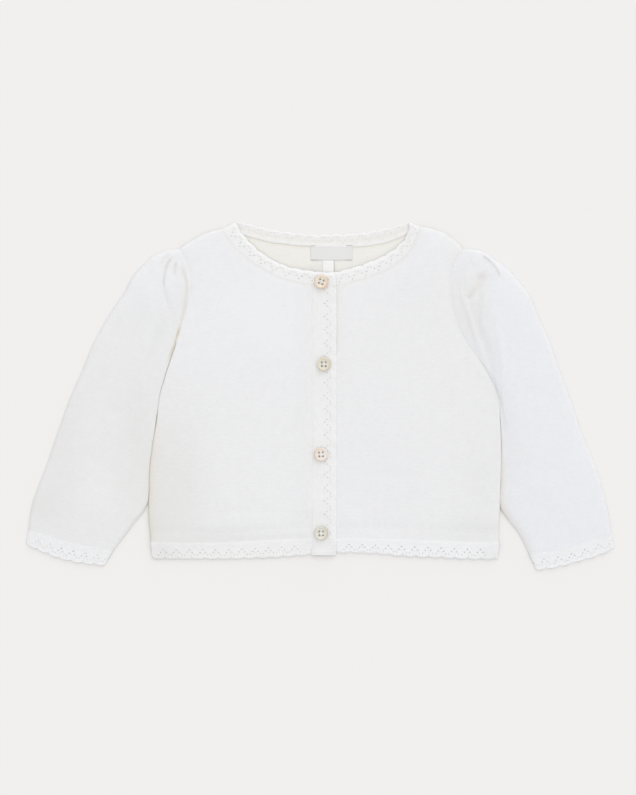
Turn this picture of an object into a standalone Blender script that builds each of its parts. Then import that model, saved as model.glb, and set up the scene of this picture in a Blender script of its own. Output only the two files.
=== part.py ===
"""A baby cardigan laid flat on its back and buttoned, fronts up.

Plan sizes are in millimetres in the garment's own axes: x runs from the button line towards the
wearer's left, y up from the hem towards the neck, z up from the surface that it lies on. Every
cloth piece is a closed wall, worked out from the outline of its plan and from how high it lies.
The layers lie on each other: the back on the surface, the fronts on the back, the lapping band on
the band below it. At the end everything hangs on one empty that centres the garment on the origin.
"""

from collections import namedtuple
from math import cos, pi, radians, sin

import bmesh
import bpy
import numpy as np

MM = 0.001

# ---- Driving dimensions, in millimetres -------------------------------------------------------
WALL = 1.4  # knitted cloth
GAP = 0.4  # between two pieces that are sewn or lie together
LAYER = WALL + GAP  # from one laid layer to the next
SEAM_GAP = 0.7  # at curved seams, whose two sides are faceted differently
UNDERARM = 126.0  # height of the underarm above the hem
SHOULDER_TIP = 246.5  # height of the top of the armhole
BAND_RIGHT, BAND_LEFT = -7.9, 11.5  # plain and scalloped edges of the lapping button band
UNDER_RIGHT, UNDER_LEFT = -5.4, 10.0  # free edge and seam of the band below it
BAND_BOTTOM, UNDER_BOTTOM = 3.8, 6.4
LAP_START, LAP_END = -10.0, -6.0  # where the right front climbs onto the band below
FRONT_RISE = 1.7  # the fronts lie this much above touching the back, away from their edges
RISE_WITHIN = 16.0  # and reach it over about this distance from an edge
HEM_RISE = 0.35  # share of the rise that is left at the hem
LABEL_THICK, TAG_THICK = 0.8, 0.6

# ---- Short tables: one row for each section, with named columns ----------------------------------
Side = namedtuple("Side", "y right left")  # half widths of the laid body at a height
SIDES = (
    Side(0, 134.0, 139.0),
    Side(20, 135.6, 140.0),
    Side(55, 138.0, 141.2),
    Side(90, 135.6, 141.8),
    Side(112, 131.5, 140.8),
    Side(UNDERARM, 129.2, 140.0),
    Side(142, 125.2, 134.6),
    Side(158, 120.1, 124.8),
    Side(174, 114.6, 113.6),
    Side(190, 109.6, 106.2),
    Side(205, 105.2, 102.7),
    Side(217, 103.5, 101.9),
    Side(230, 105.1, 103.4),
    Side(238, 108.0, 106.2),
    Side(SHOULDER_TIP, 112.2, 111.4),
)
Point = namedtuple("Point", "x y")
SHOULDER_RIGHT = (Point(-112.2, 246.5), Point(-102.7, 252.6), Point(-90, 258.9), Point(-79.4, 262))
SHOULDER_LEFT = (Point(111.4, 246.5), Point(101.1, 255.6), Point(90, 260.8), Point(77.8, 264))
Edging = namedtuple("Edging", "seam_x seam_y free_x free_y")  # where it is sewn on, its free edge
NECK_RIGHT = (
    Edging(-78.6, 262.2, -67.6, 267.0),
    Edging(-75.5, 255.5, -65.3, 261.6),
    Edging(-71.0, 249.6, -61.4, 256.4),
    Edging(-62.4, 241.0, -54.5, 248.9),
    Edging(-50.6, 232.3, -44.3, 240.6),
    Edging(-37.1, 225.0, -32.9, 234.4),
    Edging(-21.3, 219.8, -18.8, 230.2),
    Edging(-8.3, 217.2, -7.4, 228.3),
    Edging(9.2, 216.2, 8.6, 227.0),
)
NECK_LEFT = (
    Edging(-3.6, 216.4, -3.6, 227.2),
    Edging(10.4, 217.1, 9.4, 227.8),
    Edging(26.1, 220.4, 23.2, 231.0),
    Edging(41.9, 225.6, 37.8, 235.8),
    Edging(57.7, 233.8, 51.5, 242.4),
    Edging(67.4, 242.6, 60.5, 249.0),
    Edging(73.4, 252.8, 66.6, 256.4),
    Edging(76.6, 263.6, 69.2, 266.8),
)
NECK_BACK = (
    Edging(-78.6, 262.4, -67.6, 267.8),
    Edging(-62.0, 257.2, -56.0, 265.0),
    Edging(-49.0, 253.4, -45.5, 262.3),
    Edging(-29.2, 249.9, -27.5, 259.4),
    Edging(-13.4, 248.4, -13.0, 257.8),
    Edging(8.0, 247.6, 8.0, 257.4),
    Edging(26.1, 247.8, 26.5, 258.3),
    Edging(41.9, 249.4, 42.0, 260.6),
    Edging(56.1, 253.0, 54.4, 263.4),
    Edging(76.4, 263.6, 69.2, 267.6),
)
HEM_RIGHT = (
    Edging(-135.2, 14.4, -133.9, 0.4),
    Edging(-100.0, 13.8, -100.0, 0.4),
    Edging(-57.0, 15.0, -57.0, 0.9),
    Edging(-25.0, 16.8, -25.0, 2.5),
    Edging(-8.3, 17.2, -8.3, 3.8),
)
HEM_LEFT = (
    Edging(10.4, 17.2, 10.4, 5.4),
    Edging(38.0, 17.0, 38.0, 4.9),
    Edging(62.0, 16.6, 62.0, 2.7),
    Edging(93.0, 15.4, 93.0, 1.4),
    Edging(120.0, 14.4, 120.0, 0.2),
    Edging(139.6, 14.4, 139.0, 0.2),
)
HEM_BACK = (
    Edging(-135.2, 14.4, -133.9, 1.0),
    Edging(-57.0, 15.0, -57.0, 2.4),
    Edging(0.0, 16.8, 0.0, 6.2),
    Edging(62.0, 16.6, 62.0, 4.2),
    Edging(139.6, 14.4, 139.0, 1.0),
)
CUFF_RIGHT = (  # from the outer fold of the laid sleeve to the inner one
    Edging(-230.6, 23.9, -234.8, 12.8),
    Edging(-214.9, 18.6, -217.0, 4.8),
    Edging(-199.0, 13.8, -201.0, -0.4),
    Edging(-182.0, 10.6, -186.0, -3.0),
    Edging(-164.8, 7.6, -171.8, -4.6),
)
CUFF_LEFT = (
    Edging(229.8, 19.6, 231.8, 9.6),
    Edging(213.0, 16.0, 217.3, 3.2),
    Edging(199.1, 10.6, 203.8, -0.8),
    Edging(182.0, 6.6, 186.0, -5.6),
    Edging(163.2, 5.6, 169.2, -8.0),
)
# The two folds of a laid sleeve, between the armhole and the cuff
SLEEVE_RIGHT_OUTER = (
    Point(-127.0, 243.6),
    Point(-140.4, 234.2),
    Point(-157.6, 209.4),
    Point(-175.0, 182.2),
    Point(-189.4, 150.6),
    Point(-208.4, 103.4),
    Point(-225.4, 55.4),
)
SLEEVE_RIGHT_INNER = (
    Point(-135.4, 103.0),
    Point(-139.0, 75.0),
    Point(-140.0, 47.4),
    Point(-148.2, 31.0),
)
SLEEVE_LEFT_OUTER = (
    Point(124.8, 244.9),
    Point(137.5, 237.2),
    Point(155.0, 221.4),
    Point(172.2, 190.2),
    Point(190.6, 143.4),
    Point(206.6, 98.6),
    Point(224.4, 47.4),
)
SLEEVE_LEFT_INNER = (
    Point(142.8, 95.0),
    Point(143.8, 63.2),
    Point(143.0, 45.0),
    Point(147.6, 34.0),
    Point(155.6, 20.5),
)
Height = namedtuple("Height", "along middle fold")  # of a laid sleeve, armhole 0 to cuff 1
SLEEVE_HEIGHTS = (
    Height(0.00, 3.2, 3.2),
    Height(0.05, 6.4, 3.8),
    Height(0.12, 9.2, 4.6),
    Height(0.22, 8.4, 4.6),
    Height(0.40, 6.0, 4.2),
    Height(0.65, 4.8, 3.8),
    Height(0.90, 4.0, 3.4),
    Height(1.00, 3.2, 3.2),
)
CUFF_HEIGHT = 3.2
Fold = namedtuple("Fold", "x0 y0 x1 y1 x2 y2 deep wide")  # pleats and the largest creases
FOLDS = (
    Fold(-119.3, 240.0, -125.0, 222.0, -121.5, 198.0, 2.6, 3.4),
    Fold(-113.5, 237.0, -116.5, 228.0, -117.0, 214.0, 1.8, 3.0),
    Fold(-109.2, 230.0, -107.6, 212.0, -108.6, 186.0, 2.6, 3.4),
    Fold(-128.0, 232.0, -124.0, 238.0, -119.0, 241.0, 1.0, 3.0),
    Fold(124.8, 239.0, 134.0, 231.0, 139.5, 222.0, 1.8, 3.0),
    Fold(126.0, 226.0, 121.5, 216.0, 114.6, 205.0, 2.4, 4.0),
    Fold(124.8, 204.0, 124.8, 188.0, 128.0, 170.0, 1.8, 5.0),
    Fold(135.0, 218.0, 134.0, 208.0, 132.7, 196.0, 1.2, 3.6),
)
BUTTONS = (Point(-0.6, 219.6), Point(1.4, 154.6), Point(-0.8, 83.6), Point(-0.7, 21.3))
Turned = namedtuple("Turned", "radius z")  # a button's section, from below to its dished face
BUTTON_SECTION = (
    Turned(4.6, 0.0),
    Turned(5.5, 0.9),
    Turned(5.3, 2.0),
    Turned(4.5, 2.6),
    Turned(3.5, 1.8),
)
BUTTON_SIDES = 24
HOLE_RADIUS, HOLE_SIDES = 0.75, 8
HOLE_SPREAD = 1.45  # from the button's centre to a hole's, along x and along y
Strip = namedtuple("Strip", "right left low high")
LABEL = Strip(-9.1, 24.1, 237.0, 248.8)
TAG = Strip(0.2, 9.6, 223.0, 236.6)
Finish = namedtuple("Finish", "red green blue rough")
KNIT = Finish(0.85, 0.84, 0.82, 0.9)
SHELL = Finish(0.62, 0.54, 0.46, 0.3)
LABEL_TAPE = Finish(0.72, 0.72, 0.70, 0.6)
TAG_TAPE = Finish(0.86, 0.86, 0.84, 0.7)

# ---- Grid sizes ------------------------------------------------------------------------------------
SIDE_ROWS, ARMHOLE_ROWS = 7, 9  # of the body, below and above the underarm
BODY_ROWS = SIDE_ROWS + ARMHOLE_ROWS - 1
FRONT_COLUMNS, FRONT_SHOULDER = 15, 4 / 14  # and the share of them that the shoulder takes
BACK_COLUMNS, BACK_SHOULDER = 19, 3 / 18
NECK_COLUMNS, HEM_COLUMNS, CUFF_COLUMNS, EDGING_ROWS = 27, 14, 17, 3
SLEEVE_COLUMNS = 2 * ARMHOLE_ROWS - 1  # every other one meets a row of the body
HEAD_ROWS, HEAD_SHARE, ARM_ROWS = 9, 0.13, 12  # rows crowd into the pleated head

# ---- Curves and plans ------------------------------------------------------------------------------


def spline(rows, at):
    """A smooth curve through the rows, read by their first column at the given places."""
    table = np.array(rows, float)
    knots, values = table[:, 0], table[:, 1:]
    slopes = np.gradient(values, knots, axis=0)
    at = np.clip(np.asarray(at, float), knots[0], knots[-1])
    i = np.clip(np.searchsorted(knots, at, side="right") - 1, 0, len(knots) - 2)
    step = (knots[i + 1] - knots[i])[..., None]
    t = (at - knots[i])[..., None] / step
    from_low = values[i] + slopes[i] * step * t
    from_high = values[i + 1] - slopes[i + 1] * step * (1 - t)
    blend = t * t * (3 - 2 * t)
    return from_low * (1 - blend) + from_high * blend


def chord_share(curve):
    """How far along a curve each of its points lies, from 0 to 1."""
    runs = np.hypot(*np.diff(curve, axis=0).T)
    return np.concatenate([[0], np.cumsum(runs)]) / runs.sum()


def through(points, at):
    """Places along a smooth curve through the points, 0 at its start and 1 at its end."""
    points = np.array(points, float)
    return spline(np.column_stack([chord_share(points), points]), at)


def chain(curves, shares, count):
    """Evenly counted places along curves that follow each other, each with its share of them."""
    at = np.linspace(0, 1, count)
    places = np.empty((count, 2))
    start = 0.0
    for curve, share in zip(curves, shares):
        inside = (at >= start - 1e-9) & (at <= start + share + 1e-9)
        places[inside] = through(curve, (at[inside] - start) / share)
        start += share
    return places


def patch(start, end, near, far):
    """The plan between four curves: rows run from start to end, columns from near to far."""
    s = ((chord_share(near) + chord_share(far)) / 2)[:, None, None]
    t = ((chord_share(start) + chord_share(end)) / 2)[None, :, None]
    between = (1 - s) * start[None] + s * end[None] + (1 - t) * near[:, None] + t * far[:, None]
    first = (1 - t) * start[0] + t * start[-1]
    last = (1 - t) * end[0] + t * end[-1]
    return between - (1 - s) * first - s * last


def side_x(y, left):
    """x of the body's side or armhole edge at a height."""
    widths = spline(SIDES, y)
    return widths[..., 1] if left else -widths[..., 0]


def armhole_edge(left):
    y = np.linspace(UNDERARM, SHOULDER_TIP, ARMHOLE_ROWS)
    return np.column_stack([side_x(y, left), y])


def side_edge(low, left):
    """The edge of a front or the back, from the hem's seam to the underarm and the shoulder."""
    y = np.linspace(low, UNDERARM, SIDE_ROWS)[:-1]
    return np.concatenate([np.column_stack([side_x(y, left), y]), armhole_edge(left)])


def seam_line(rows, aside=0.0):
    """Where an edging is sewn on, moved aside from it by a distance, to the right of its run."""
    line = np.array([(row.seam_x, row.seam_y) for row in rows])
    run = np.gradient(line, axis=0)
    run /= np.hypot(run[:, 0], run[:, 1])[:, None]
    return line + aside * np.column_stack([run[:, 1], -run[:, 0]])


def free_line(rows):
    return [(row.free_x, row.free_y) for row in rows]


# ---- Heights ---------------------------------------------------------------------------------------


def near_run(x, y, start, end):
    """How far points lie from a straight run, and where along it they are, from 0 to 1."""
    run = np.subtract(end, start)
    along = np.clip(((x - start[0]) * run[0] + (y - start[1]) * run[1]) / (run @ run), 0, 1)
    return np.hypot(x - start[0] - along * run[0], y - start[1] - along * run[1]), along


def fold_depth(x, y):
    """How much the pleats and creases take off the height of the cloth, fading at their ends."""
    total = np.zeros(np.shape(x))
    for fold in FOLDS:
        upper, a = near_run(x, y, (fold.x0, fold.y0), (fold.x1, fold.y1))
        lower, b = near_run(x, y, (fold.x1, fold.y1), (fold.x2, fold.y2))
        along = np.where(upper < lower, a, 1 + b) / 2
        fade = np.sqrt(np.sin(pi * (0.08 + 0.84 * along)))
        across = np.minimum(upper, lower) / (0.6 * fold.wide)
        total = total + fold.deep * fade * np.exp(-across * across)
    return total


def settle(distance):
    """The share of the rise that cloth has at a distance from an edge that is held down."""
    return 1 - np.exp(-np.clip(distance, 0, None) / RISE_WITHIN)


def front_floor(x, y):
    """Underside of the fronts: on the back at the sides and shoulders, a little above elsewhere."""
    from_side = np.minimum(side_x(y, True) - x, x - side_x(y, False))
    slope = (SHOULDER_LEFT[-1].y - SHOULDER_TIP) / (SHOULDER_LEFT[0].x - SHOULDER_LEFT[-1].x)
    from_shoulder = SHOULDER_TIP + slope * (SHOULDER_LEFT[0].x - np.abs(x)) - y
    hem = HEM_RISE + (1 - HEM_RISE) * settle(y)
    return LAYER + FRONT_RISE * hem * settle(from_side) * settle(2 * from_shoulder + 4)


def lapping_floor(x, y):
    """The same for the right front and its band, which climb onto the band below them."""
    t = np.clip((x - LAP_START) / (LAP_END - LAP_START), 0, 1)
    return front_floor(x, y) + LAYER * t * t * (3 - 2 * t)


def back_floor(x, y):
    return np.zeros(np.shape(x))


def label_floor(x, y):
    return np.full(np.shape(x), LAYER)


# ---- Meshes ----------------------------------------------------------------------------------------


def material(name, finish):
    made = bpy.data.materials.new(name)
    made.use_nodes = True
    shader = made.node_tree.nodes["Principled BSDF"]
    shader.inputs["Base Color"].default_value = (finish.red, finish.green, finish.blue, 1)
    shader.inputs["Roughness"].default_value = finish.rough
    shader.inputs["Metallic"].default_value = 0.0
    made.diffuse_color = (finish.red, finish.green, finish.blue, 1)
    return made


def add_object(name, mesh, finish=KNIT, sharp_over=50):
    """An object for a mesh, its faces turned out and its round parts shaded smooth."""
    shape = bmesh.new()
    shape.from_mesh(mesh)
    bmesh.ops.recalc_face_normals(shape, faces=shape.faces)
    shape.to_mesh(mesh)
    shape.free()
    mesh.shade_smooth()
    mesh.set_sharp_from_angle(angle=radians(sharp_over))
    mesh.materials.append(material(name, finish))
    made = bpy.data.objects.new(name, mesh)
    bpy.context.scene.collection.objects.link(made)
    return made


def mesh_of(name, points, faces):
    mesh = bpy.data.meshes.new(name)
    mesh.from_pydata((np.asarray(points, float) * MM).tolist(), [], faces)
    return mesh


def grid_faces(rows, columns, first=0, closed=False):
    """Quads of a grid of points, which may close on itself across its columns."""
    faces = []
    for row in range(rows - 1):
        low, high = first + row * columns, first + (row + 1) * columns
        for j in range(columns if closed else columns - 1):
            k = (j + 1) % columns
            faces.append((low + j, low + k, high + k, high + j))
    return faces


def cloth_wall(name, plan, floor, thick=WALL, finish=KNIT):
    """A laid sheet, from the grid of its plan and the height of its underside as a function."""
    rows, columns = plan.shape[:2]
    x, y = plan[..., 0], plan[..., 1]
    low = np.dstack([x, y, floor(x, y)]).reshape(-1, 3)
    count = rows * columns
    index = np.arange(count).reshape(rows, columns)
    rim = np.concatenate([index[0, :-1], index[:-1, -1], index[-1, :0:-1], index[:0:-1, 0]])
    faces = grid_faces(rows, columns) + grid_faces(rows, columns, count)
    for a, b in zip(rim.tolist(), np.roll(rim, -1).tolist()):
        faces.append((a, b, b + count, a + count))
    points = np.concatenate([low, low + (0, 0, thick)])
    return add_object(name, mesh_of(name, points, faces), finish)


def tube_ring(plan, middle, fold, wall):
    """One section of a laid tube, moved in by a wall: over the top, then back along its underside."""
    width = np.hypot(*(plan[-1] - plan[0]))
    keep = 1 - 2.5 * wall / width
    centre = (plan[0] + plan[-1]) / 2
    share = chord_share(plan) * keep + (1 - keep) / 2
    over = centre + (plan - centre) * keep
    from_fold = np.minimum(share, 1 - share) * width
    half = fold / 2
    bend = np.sqrt(1 - (1 - np.clip(from_fold / (1.15 * half), 0, 1)) ** 2)
    swell = 1 - (1 - np.clip(from_fold / (0.3 * width), 0, 1)) ** 2
    crest = fold + (middle - fold) * swell - fold_depth(over[:, 0], over[:, 1]) * swell
    top = half + (crest - half) * bend
    bottom = half * (1 - bend) + wall
    if wall:
        top = np.maximum(top - wall, bottom + GAP)
        top[[0, -1]] = (top[[0, -1]] + bottom[[0, -1]]) / 2
    upper = np.column_stack([over, top])
    lower = np.column_stack([over, bottom])[-3:0:-2]
    return np.concatenate([upper, lower])


def cloth_tube(name, plan, heights):
    """A laid tube, open at both ends. Its plan runs along it, and across from fold to fold."""
    rows = len(plan)
    rings = [tube_ring(plan[i], *heights[i], 0.0) for i in range(rows)]
    rings += [tube_ring(plan[i], *heights[i], WALL) for i in range(rows)]
    around = len(rings[0])
    inside = rows * around
    faces = grid_faces(rows, around, 0, True) + grid_faces(rows, around, inside, True)
    for end in (0, (rows - 1) * around):
        for j in range(around):
            k = (j + 1) % around
            faces.append((end + j, end + k, inside + end + k, inside + end + j))
    return add_object(name, mesh_of(name, np.concatenate(rings), faces))


# ---- The pieces ------------------------------------------------------------------------------------


def front_panel(name, left):
    """A front, between its side and armhole, its shoulder and neck, its band and its hem."""
    shoulder = SHOULDER_LEFT if left else SHOULDER_RIGHT
    neck = seam_line(NECK_LEFT, SEAM_GAP)[:0:-1] if left else seam_line(NECK_RIGHT, SEAM_GAP)[:-1]
    hem = seam_line(HEM_LEFT, -GAP)[::-1] if left else seam_line(HEM_RIGHT, -GAP)
    top = chain(([*shoulder], [shoulder[-1], *neck[1:]]), (FRONT_SHOULDER, 1 - FRONT_SHOULDER),
                FRONT_COLUMNS)
    bottom = through(hem, np.linspace(0, 1, FRONT_COLUMNS))
    side = side_edge(hem[0][1], left)
    bottom[0], top[0] = side[0], side[-1]
    centre = np.linspace(bottom[-1], top[-1], BODY_ROWS)
    return cloth_wall(name, patch(bottom, top, side, centre),
                      front_floor if left else lapping_floor)


def back_panel():
    neck = seam_line(NECK_BACK, SEAM_GAP)[1:-1]
    curves = (
        SHOULDER_RIGHT,
        [SHOULDER_RIGHT[-1], *neck, SHOULDER_LEFT[-1]],
        SHOULDER_LEFT[::-1],
    )
    shares = (BACK_SHOULDER, 1 - 2 * BACK_SHOULDER, BACK_SHOULDER)
    top = chain(curves, shares, BACK_COLUMNS)
    hem = seam_line(HEM_BACK, -GAP)
    bottom = through(hem, np.linspace(0, 1, BACK_COLUMNS))
    right, left = side_edge(hem[0][1], False), side_edge(hem[-1][1], True)
    bottom[0], top[0], bottom[-1], top[-1] = right[0], right[-1], left[0], left[-1]
    return cloth_wall("back_panel", patch(bottom, top, right, left), back_floor)


def edging_plan(rows, columns):
    """The plan of an edging, from its seam to its free edge."""
    across = np.linspace(0, 1, EDGING_ROWS)[:, None, None]
    along = np.linspace(0, 1, columns)
    return through(seam_line(rows), along) * (1 - across) + through(free_line(rows), along) * across


def button_band(name, columns, low, high, floor):
    """A band down the front: its columns by place, its top following the neck edging."""
    x = np.array(columns)
    top = high[0] + (high[1] - high[0]) * (x - x[0]) / (x[-1] - x[0])
    share = np.linspace(0, 1, BODY_ROWS)[:, None]
    plan = np.dstack([np.broadcast_to(x, (BODY_ROWS, len(x))), low + (top - low) * share])
    return cloth_wall(name, plan, floor)


def clear_of_body(plan, left):
    """A sleeve's plan kept beside the body: each row from the armhole on a little further out."""
    steps = np.minimum(np.arange(len(plan)) * GAP, 6 * GAP)[:, None]
    room = 2 * GAP + steps * np.sqrt(np.linspace(1, 0, plan.shape[1]))
    x, y = plan[..., 0], plan[..., 1]
    edge = side_x(y, left)
    out = np.maximum(x, edge + room) if left else np.minimum(x, edge - room)
    beside = (y > 0) & (y < SHOULDER_TIP) & (steps > 0)
    return np.dstack([np.where(beside, out, x), y])


def sleeve(name, left, outer, inner, cuff):
    """A sleeve laid as a flat tube, from the armhole to its cuff edging."""
    body = armhole_edge(left)
    y = np.linspace(SHOULDER_TIP, UNDERARM, SLEEVE_COLUMNS)
    outwards = 1.25 * GAP if left else -1.25 * GAP
    armhole = np.column_stack([np.interp(y, body[:, 1], body[:, 0]) + outwards, y])
    cuff_seam = seam_line(cuff, 1.25 * GAP if left else -1.25 * GAP)
    end = through(cuff_seam, np.linspace(0, 1, SLEEVE_COLUMNS))
    arm = HEAD_SHARE + (1 - HEAD_SHARE) * np.linspace(0, 1, ARM_ROWS)[1:]
    along = np.concatenate([np.linspace(0, HEAD_SHARE, HEAD_ROWS), arm])
    near = through([armhole[0], *outer, cuff_seam[0]], along)
    far = through([armhole[-1], *inner, cuff_seam[-1]], along)
    plan = clear_of_body(patch(armhole, end, near, far), left)
    return cloth_tube(name, plan, spline(SLEEVE_HEIGHTS, along))


def cuff_edging(name, rows):
    heights = np.full((EDGING_ROWS, 2), CUFF_HEIGHT)
    return cloth_tube(name, edging_plan(rows, CUFF_COLUMNS), heights)


def tape(name, strip, thick, finish):
    """A woven tape that lies on the inside of the back."""
    x, y = np.meshgrid((strip.right, strip.left), (strip.low, strip.high))
    return cloth_wall(name, np.dstack([x, y]), label_floor, thick, finish)


def disc(rings, sides, centre=(0.0, 0.0)):
    """Points and faces of a closed turned shape, from the radius and height of its rings."""
    points = []
    for radius, z in rings:
        for k in range(sides):
            turn = 2 * pi * k / sides
            points.append((centre[0] + radius * cos(turn), centre[1] + radius * sin(turn), z))
    faces = grid_faces(len(rings), sides, 0, True)
    last = (len(rings) - 1) * sides
    faces.append(tuple(range(sides)))
    faces.append(tuple(range(last, last + sides)))
    return points, faces


def hole_cutter():
    """The four holes of a button as one hidden cutter, longer than the button is thick."""
    points, faces = [], []
    for across in (-HOLE_SPREAD, HOLE_SPREAD):
        for up in (-HOLE_SPREAD, HOLE_SPREAD):
            rings = ((HOLE_RADIUS, -1.0), (HOLE_RADIUS, 2 * BUTTON_SECTION[-1].z))
            more, sides = disc(rings, HOLE_SIDES, (across, up))
            faces += [tuple(len(points) + corner for corner in face) for face in sides]
            points += more
    cutter = add_object("button_holes", mesh_of("button_holes", points, faces))
    cutter.hide_render = True
    cutter.display_type = "WIRE"
    return cutter


def button(name, place, cutter):
    """A four-hole button that lies on the lapping band."""
    made = add_object(name, mesh_of(name, *disc(BUTTON_SECTION, BUTTON_SIDES)), SHELL, 35)
    holes = made.modifiers.new("holes", "BOOLEAN")
    holes.operation = "DIFFERENCE"
    holes.object = cutter
    reach = BUTTON_SECTION[1].radius
    below = np.array([[place.x + a, place.y + b] for a in (-reach, reach) for b in (-reach, reach)])
    rest = lapping_floor(below[:, 0], below[:, 1]).max() + WALL + GAP
    made.location = (place.x * MM, place.y * MM, float(rest) * MM)
    return made


def build():
    """Every piece of the cardigan, in the garment's own axes."""
    above_band = (NECK_RIGHT[-2].seam_y - SEAM_GAP, NECK_RIGHT[-1].seam_y - SEAM_GAP)
    above_under = (NECK_LEFT[0].seam_y - SEAM_GAP, NECK_LEFT[1].seam_y - SEAM_GAP)
    over_columns = (BAND_RIGHT, (BAND_RIGHT + LAP_END) / 2, LAP_END, 0, 6, BAND_LEFT)
    pieces = [
        back_panel(),
        front_panel("front_right", left=False),
        front_panel("front_left", left=True),
        sleeve("sleeve_right", False, SLEEVE_RIGHT_OUTER, SLEEVE_RIGHT_INNER, CUFF_RIGHT),
        sleeve("sleeve_left", True, SLEEVE_LEFT_OUTER, SLEEVE_LEFT_INNER, CUFF_LEFT),
        cuff_edging("cuff_edging_right", CUFF_RIGHT),
        cuff_edging("cuff_edging_left", CUFF_LEFT),
        cloth_wall("hem_edging_back", edging_plan(HEM_BACK, HEM_COLUMNS), back_floor),
        cloth_wall("hem_edging_right", edging_plan(HEM_RIGHT, HEM_COLUMNS), lapping_floor),
        cloth_wall("hem_edging_left", edging_plan(HEM_LEFT, HEM_COLUMNS), front_floor),
        cloth_wall("neck_edging_back", edging_plan(NECK_BACK, NECK_COLUMNS), back_floor),
        cloth_wall("neck_edging_right", edging_plan(NECK_RIGHT, NECK_COLUMNS), lapping_floor),
        cloth_wall("neck_edging_left", edging_plan(NECK_LEFT, NECK_COLUMNS), front_floor),
        button_band("button_band_over", over_columns, BAND_BOTTOM, above_band, lapping_floor),
        button_band("button_band_under", (UNDER_RIGHT, 0, UNDER_LEFT), UNDER_BOTTOM, above_under,
                    front_floor),
        tape("neck_label", LABEL, LABEL_THICK, LABEL_TAPE),
        tape("size_tag", TAG, TAG_THICK, TAG_TAPE),
    ]
    cutter = hole_cutter()
    for number, place in enumerate(BUTTONS, 1):
        pieces.append(button(f"button_{number}", place, cutter))
    return pieces


def centre_on_origin(pieces):
    """Hangs the pieces on one empty, placed so that the garment's box is centred on the origin."""
    low, high = np.full(2, np.inf), np.full(2, -np.inf)
    for piece in pieces:
        for corner in piece.bound_box:
            place = np.add(corner[:2], piece.location[:2])
            low, high = np.minimum(low, place), np.maximum(high, place)
    garment = bpy.data.objects.new("garment", None)
    bpy.context.scene.collection.objects.link(garment)
    garment.location = (*(-(low + high) / 2), 0)
    for piece in pieces:
        piece.parent = garment


for old in list(bpy.data.objects):
    bpy.data.objects.remove(old, do_unlink=True)
centre_on_origin(build())
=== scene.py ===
# %% [markdown]
# # A baby cardigan in fine white knit, laid flat and buttoned
#
# The real thing is knitted in pieces that are sewn together: a back, two fronts, two sleeves whose
# heads are pleated into the armholes, and a narrow lace edging round the neck, the hem and the
# cuffs. A band with the same lace carries four shell buttons down the front. It lies on its back on
# a pale table, so almost everything below is a thin shell of cloth that rests on the layer under it.
# Right and left are the wearer's all through.
#
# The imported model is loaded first. It stays as it is: every piece below takes its place from it.

# %% Load the frame
from collections import namedtuple
from math import cos, pi, radians, sin

import bmesh
import bpy
import numpy as np
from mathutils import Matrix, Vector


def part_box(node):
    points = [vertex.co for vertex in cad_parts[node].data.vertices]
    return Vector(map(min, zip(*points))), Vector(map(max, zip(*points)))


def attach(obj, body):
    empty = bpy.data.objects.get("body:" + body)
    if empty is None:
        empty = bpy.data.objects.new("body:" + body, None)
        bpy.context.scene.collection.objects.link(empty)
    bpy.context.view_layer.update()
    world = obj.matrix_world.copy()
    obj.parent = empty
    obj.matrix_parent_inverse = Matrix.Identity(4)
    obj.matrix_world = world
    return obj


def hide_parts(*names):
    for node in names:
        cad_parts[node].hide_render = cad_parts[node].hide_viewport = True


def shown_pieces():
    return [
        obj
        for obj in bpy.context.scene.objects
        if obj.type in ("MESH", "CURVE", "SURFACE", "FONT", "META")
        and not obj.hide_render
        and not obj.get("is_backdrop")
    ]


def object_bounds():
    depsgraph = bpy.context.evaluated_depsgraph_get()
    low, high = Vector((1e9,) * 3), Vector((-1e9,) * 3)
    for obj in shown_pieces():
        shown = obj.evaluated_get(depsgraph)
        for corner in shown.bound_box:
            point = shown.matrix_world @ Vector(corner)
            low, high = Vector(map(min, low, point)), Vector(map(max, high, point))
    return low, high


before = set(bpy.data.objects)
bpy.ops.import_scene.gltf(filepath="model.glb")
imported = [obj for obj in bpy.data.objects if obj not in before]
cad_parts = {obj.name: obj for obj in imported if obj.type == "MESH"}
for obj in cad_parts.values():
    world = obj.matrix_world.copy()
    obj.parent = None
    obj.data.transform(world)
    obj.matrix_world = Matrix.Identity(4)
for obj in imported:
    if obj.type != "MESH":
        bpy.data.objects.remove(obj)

MM = 0.001
cad_low, cad_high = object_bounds()
print("frame", [round(v / MM, 1) for v in (*cad_low, *cad_high)], "mm,", len(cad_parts), "nodes")

# %% [markdown]
# ## The garment's own axes
#
# A knitter measures from the button line and from the hem. So the plans below are in millimetres, x
# from the button line towards the wearer's left, y from the hem to the neck, z up from the table.
# The frame is centred on the whole garment instead, and the difference is one shift. It is found
# from the two places that reach lowest in x and y, the tips of the two cuffs.

# %% Shift from the garment's axes to the frame
CUFF_TIPS = (-234.8, -8.0)
SHIFT = np.array([cad_low.x / MM - CUFF_TIPS[0], cad_low.y / MM - CUFF_TIPS[1], 0.0])
print("shift", SHIFT.round(2), "mm")

# %% [markdown]
# ## Camera, table and light
#
# A flat garment is shown from straight above with a long lens, so that nothing leans. The table is
# one pale sheet, far larger than the picture. A knitted surface only shows by its small shadows:
# an even sky and a very wide ceiling light fill them, and one narrower window light, lower down and
# from beyond the neck, gives every pleat a lit and a shaded side. A bare point light would draw
# hard lines instead.

# %% Camera
PICTURE = (636, 795)  # pixels
PICTURE_WIDTH = 0.5024  # of the table, in metres
PICTURE_CENTRE = (-0.0017, -0.0015)
LENS, SENSOR = 85.0, 36.0  # millimetres; the sensor's width is the picture's long side
CLOTH_LEVEL = 0.004

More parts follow.
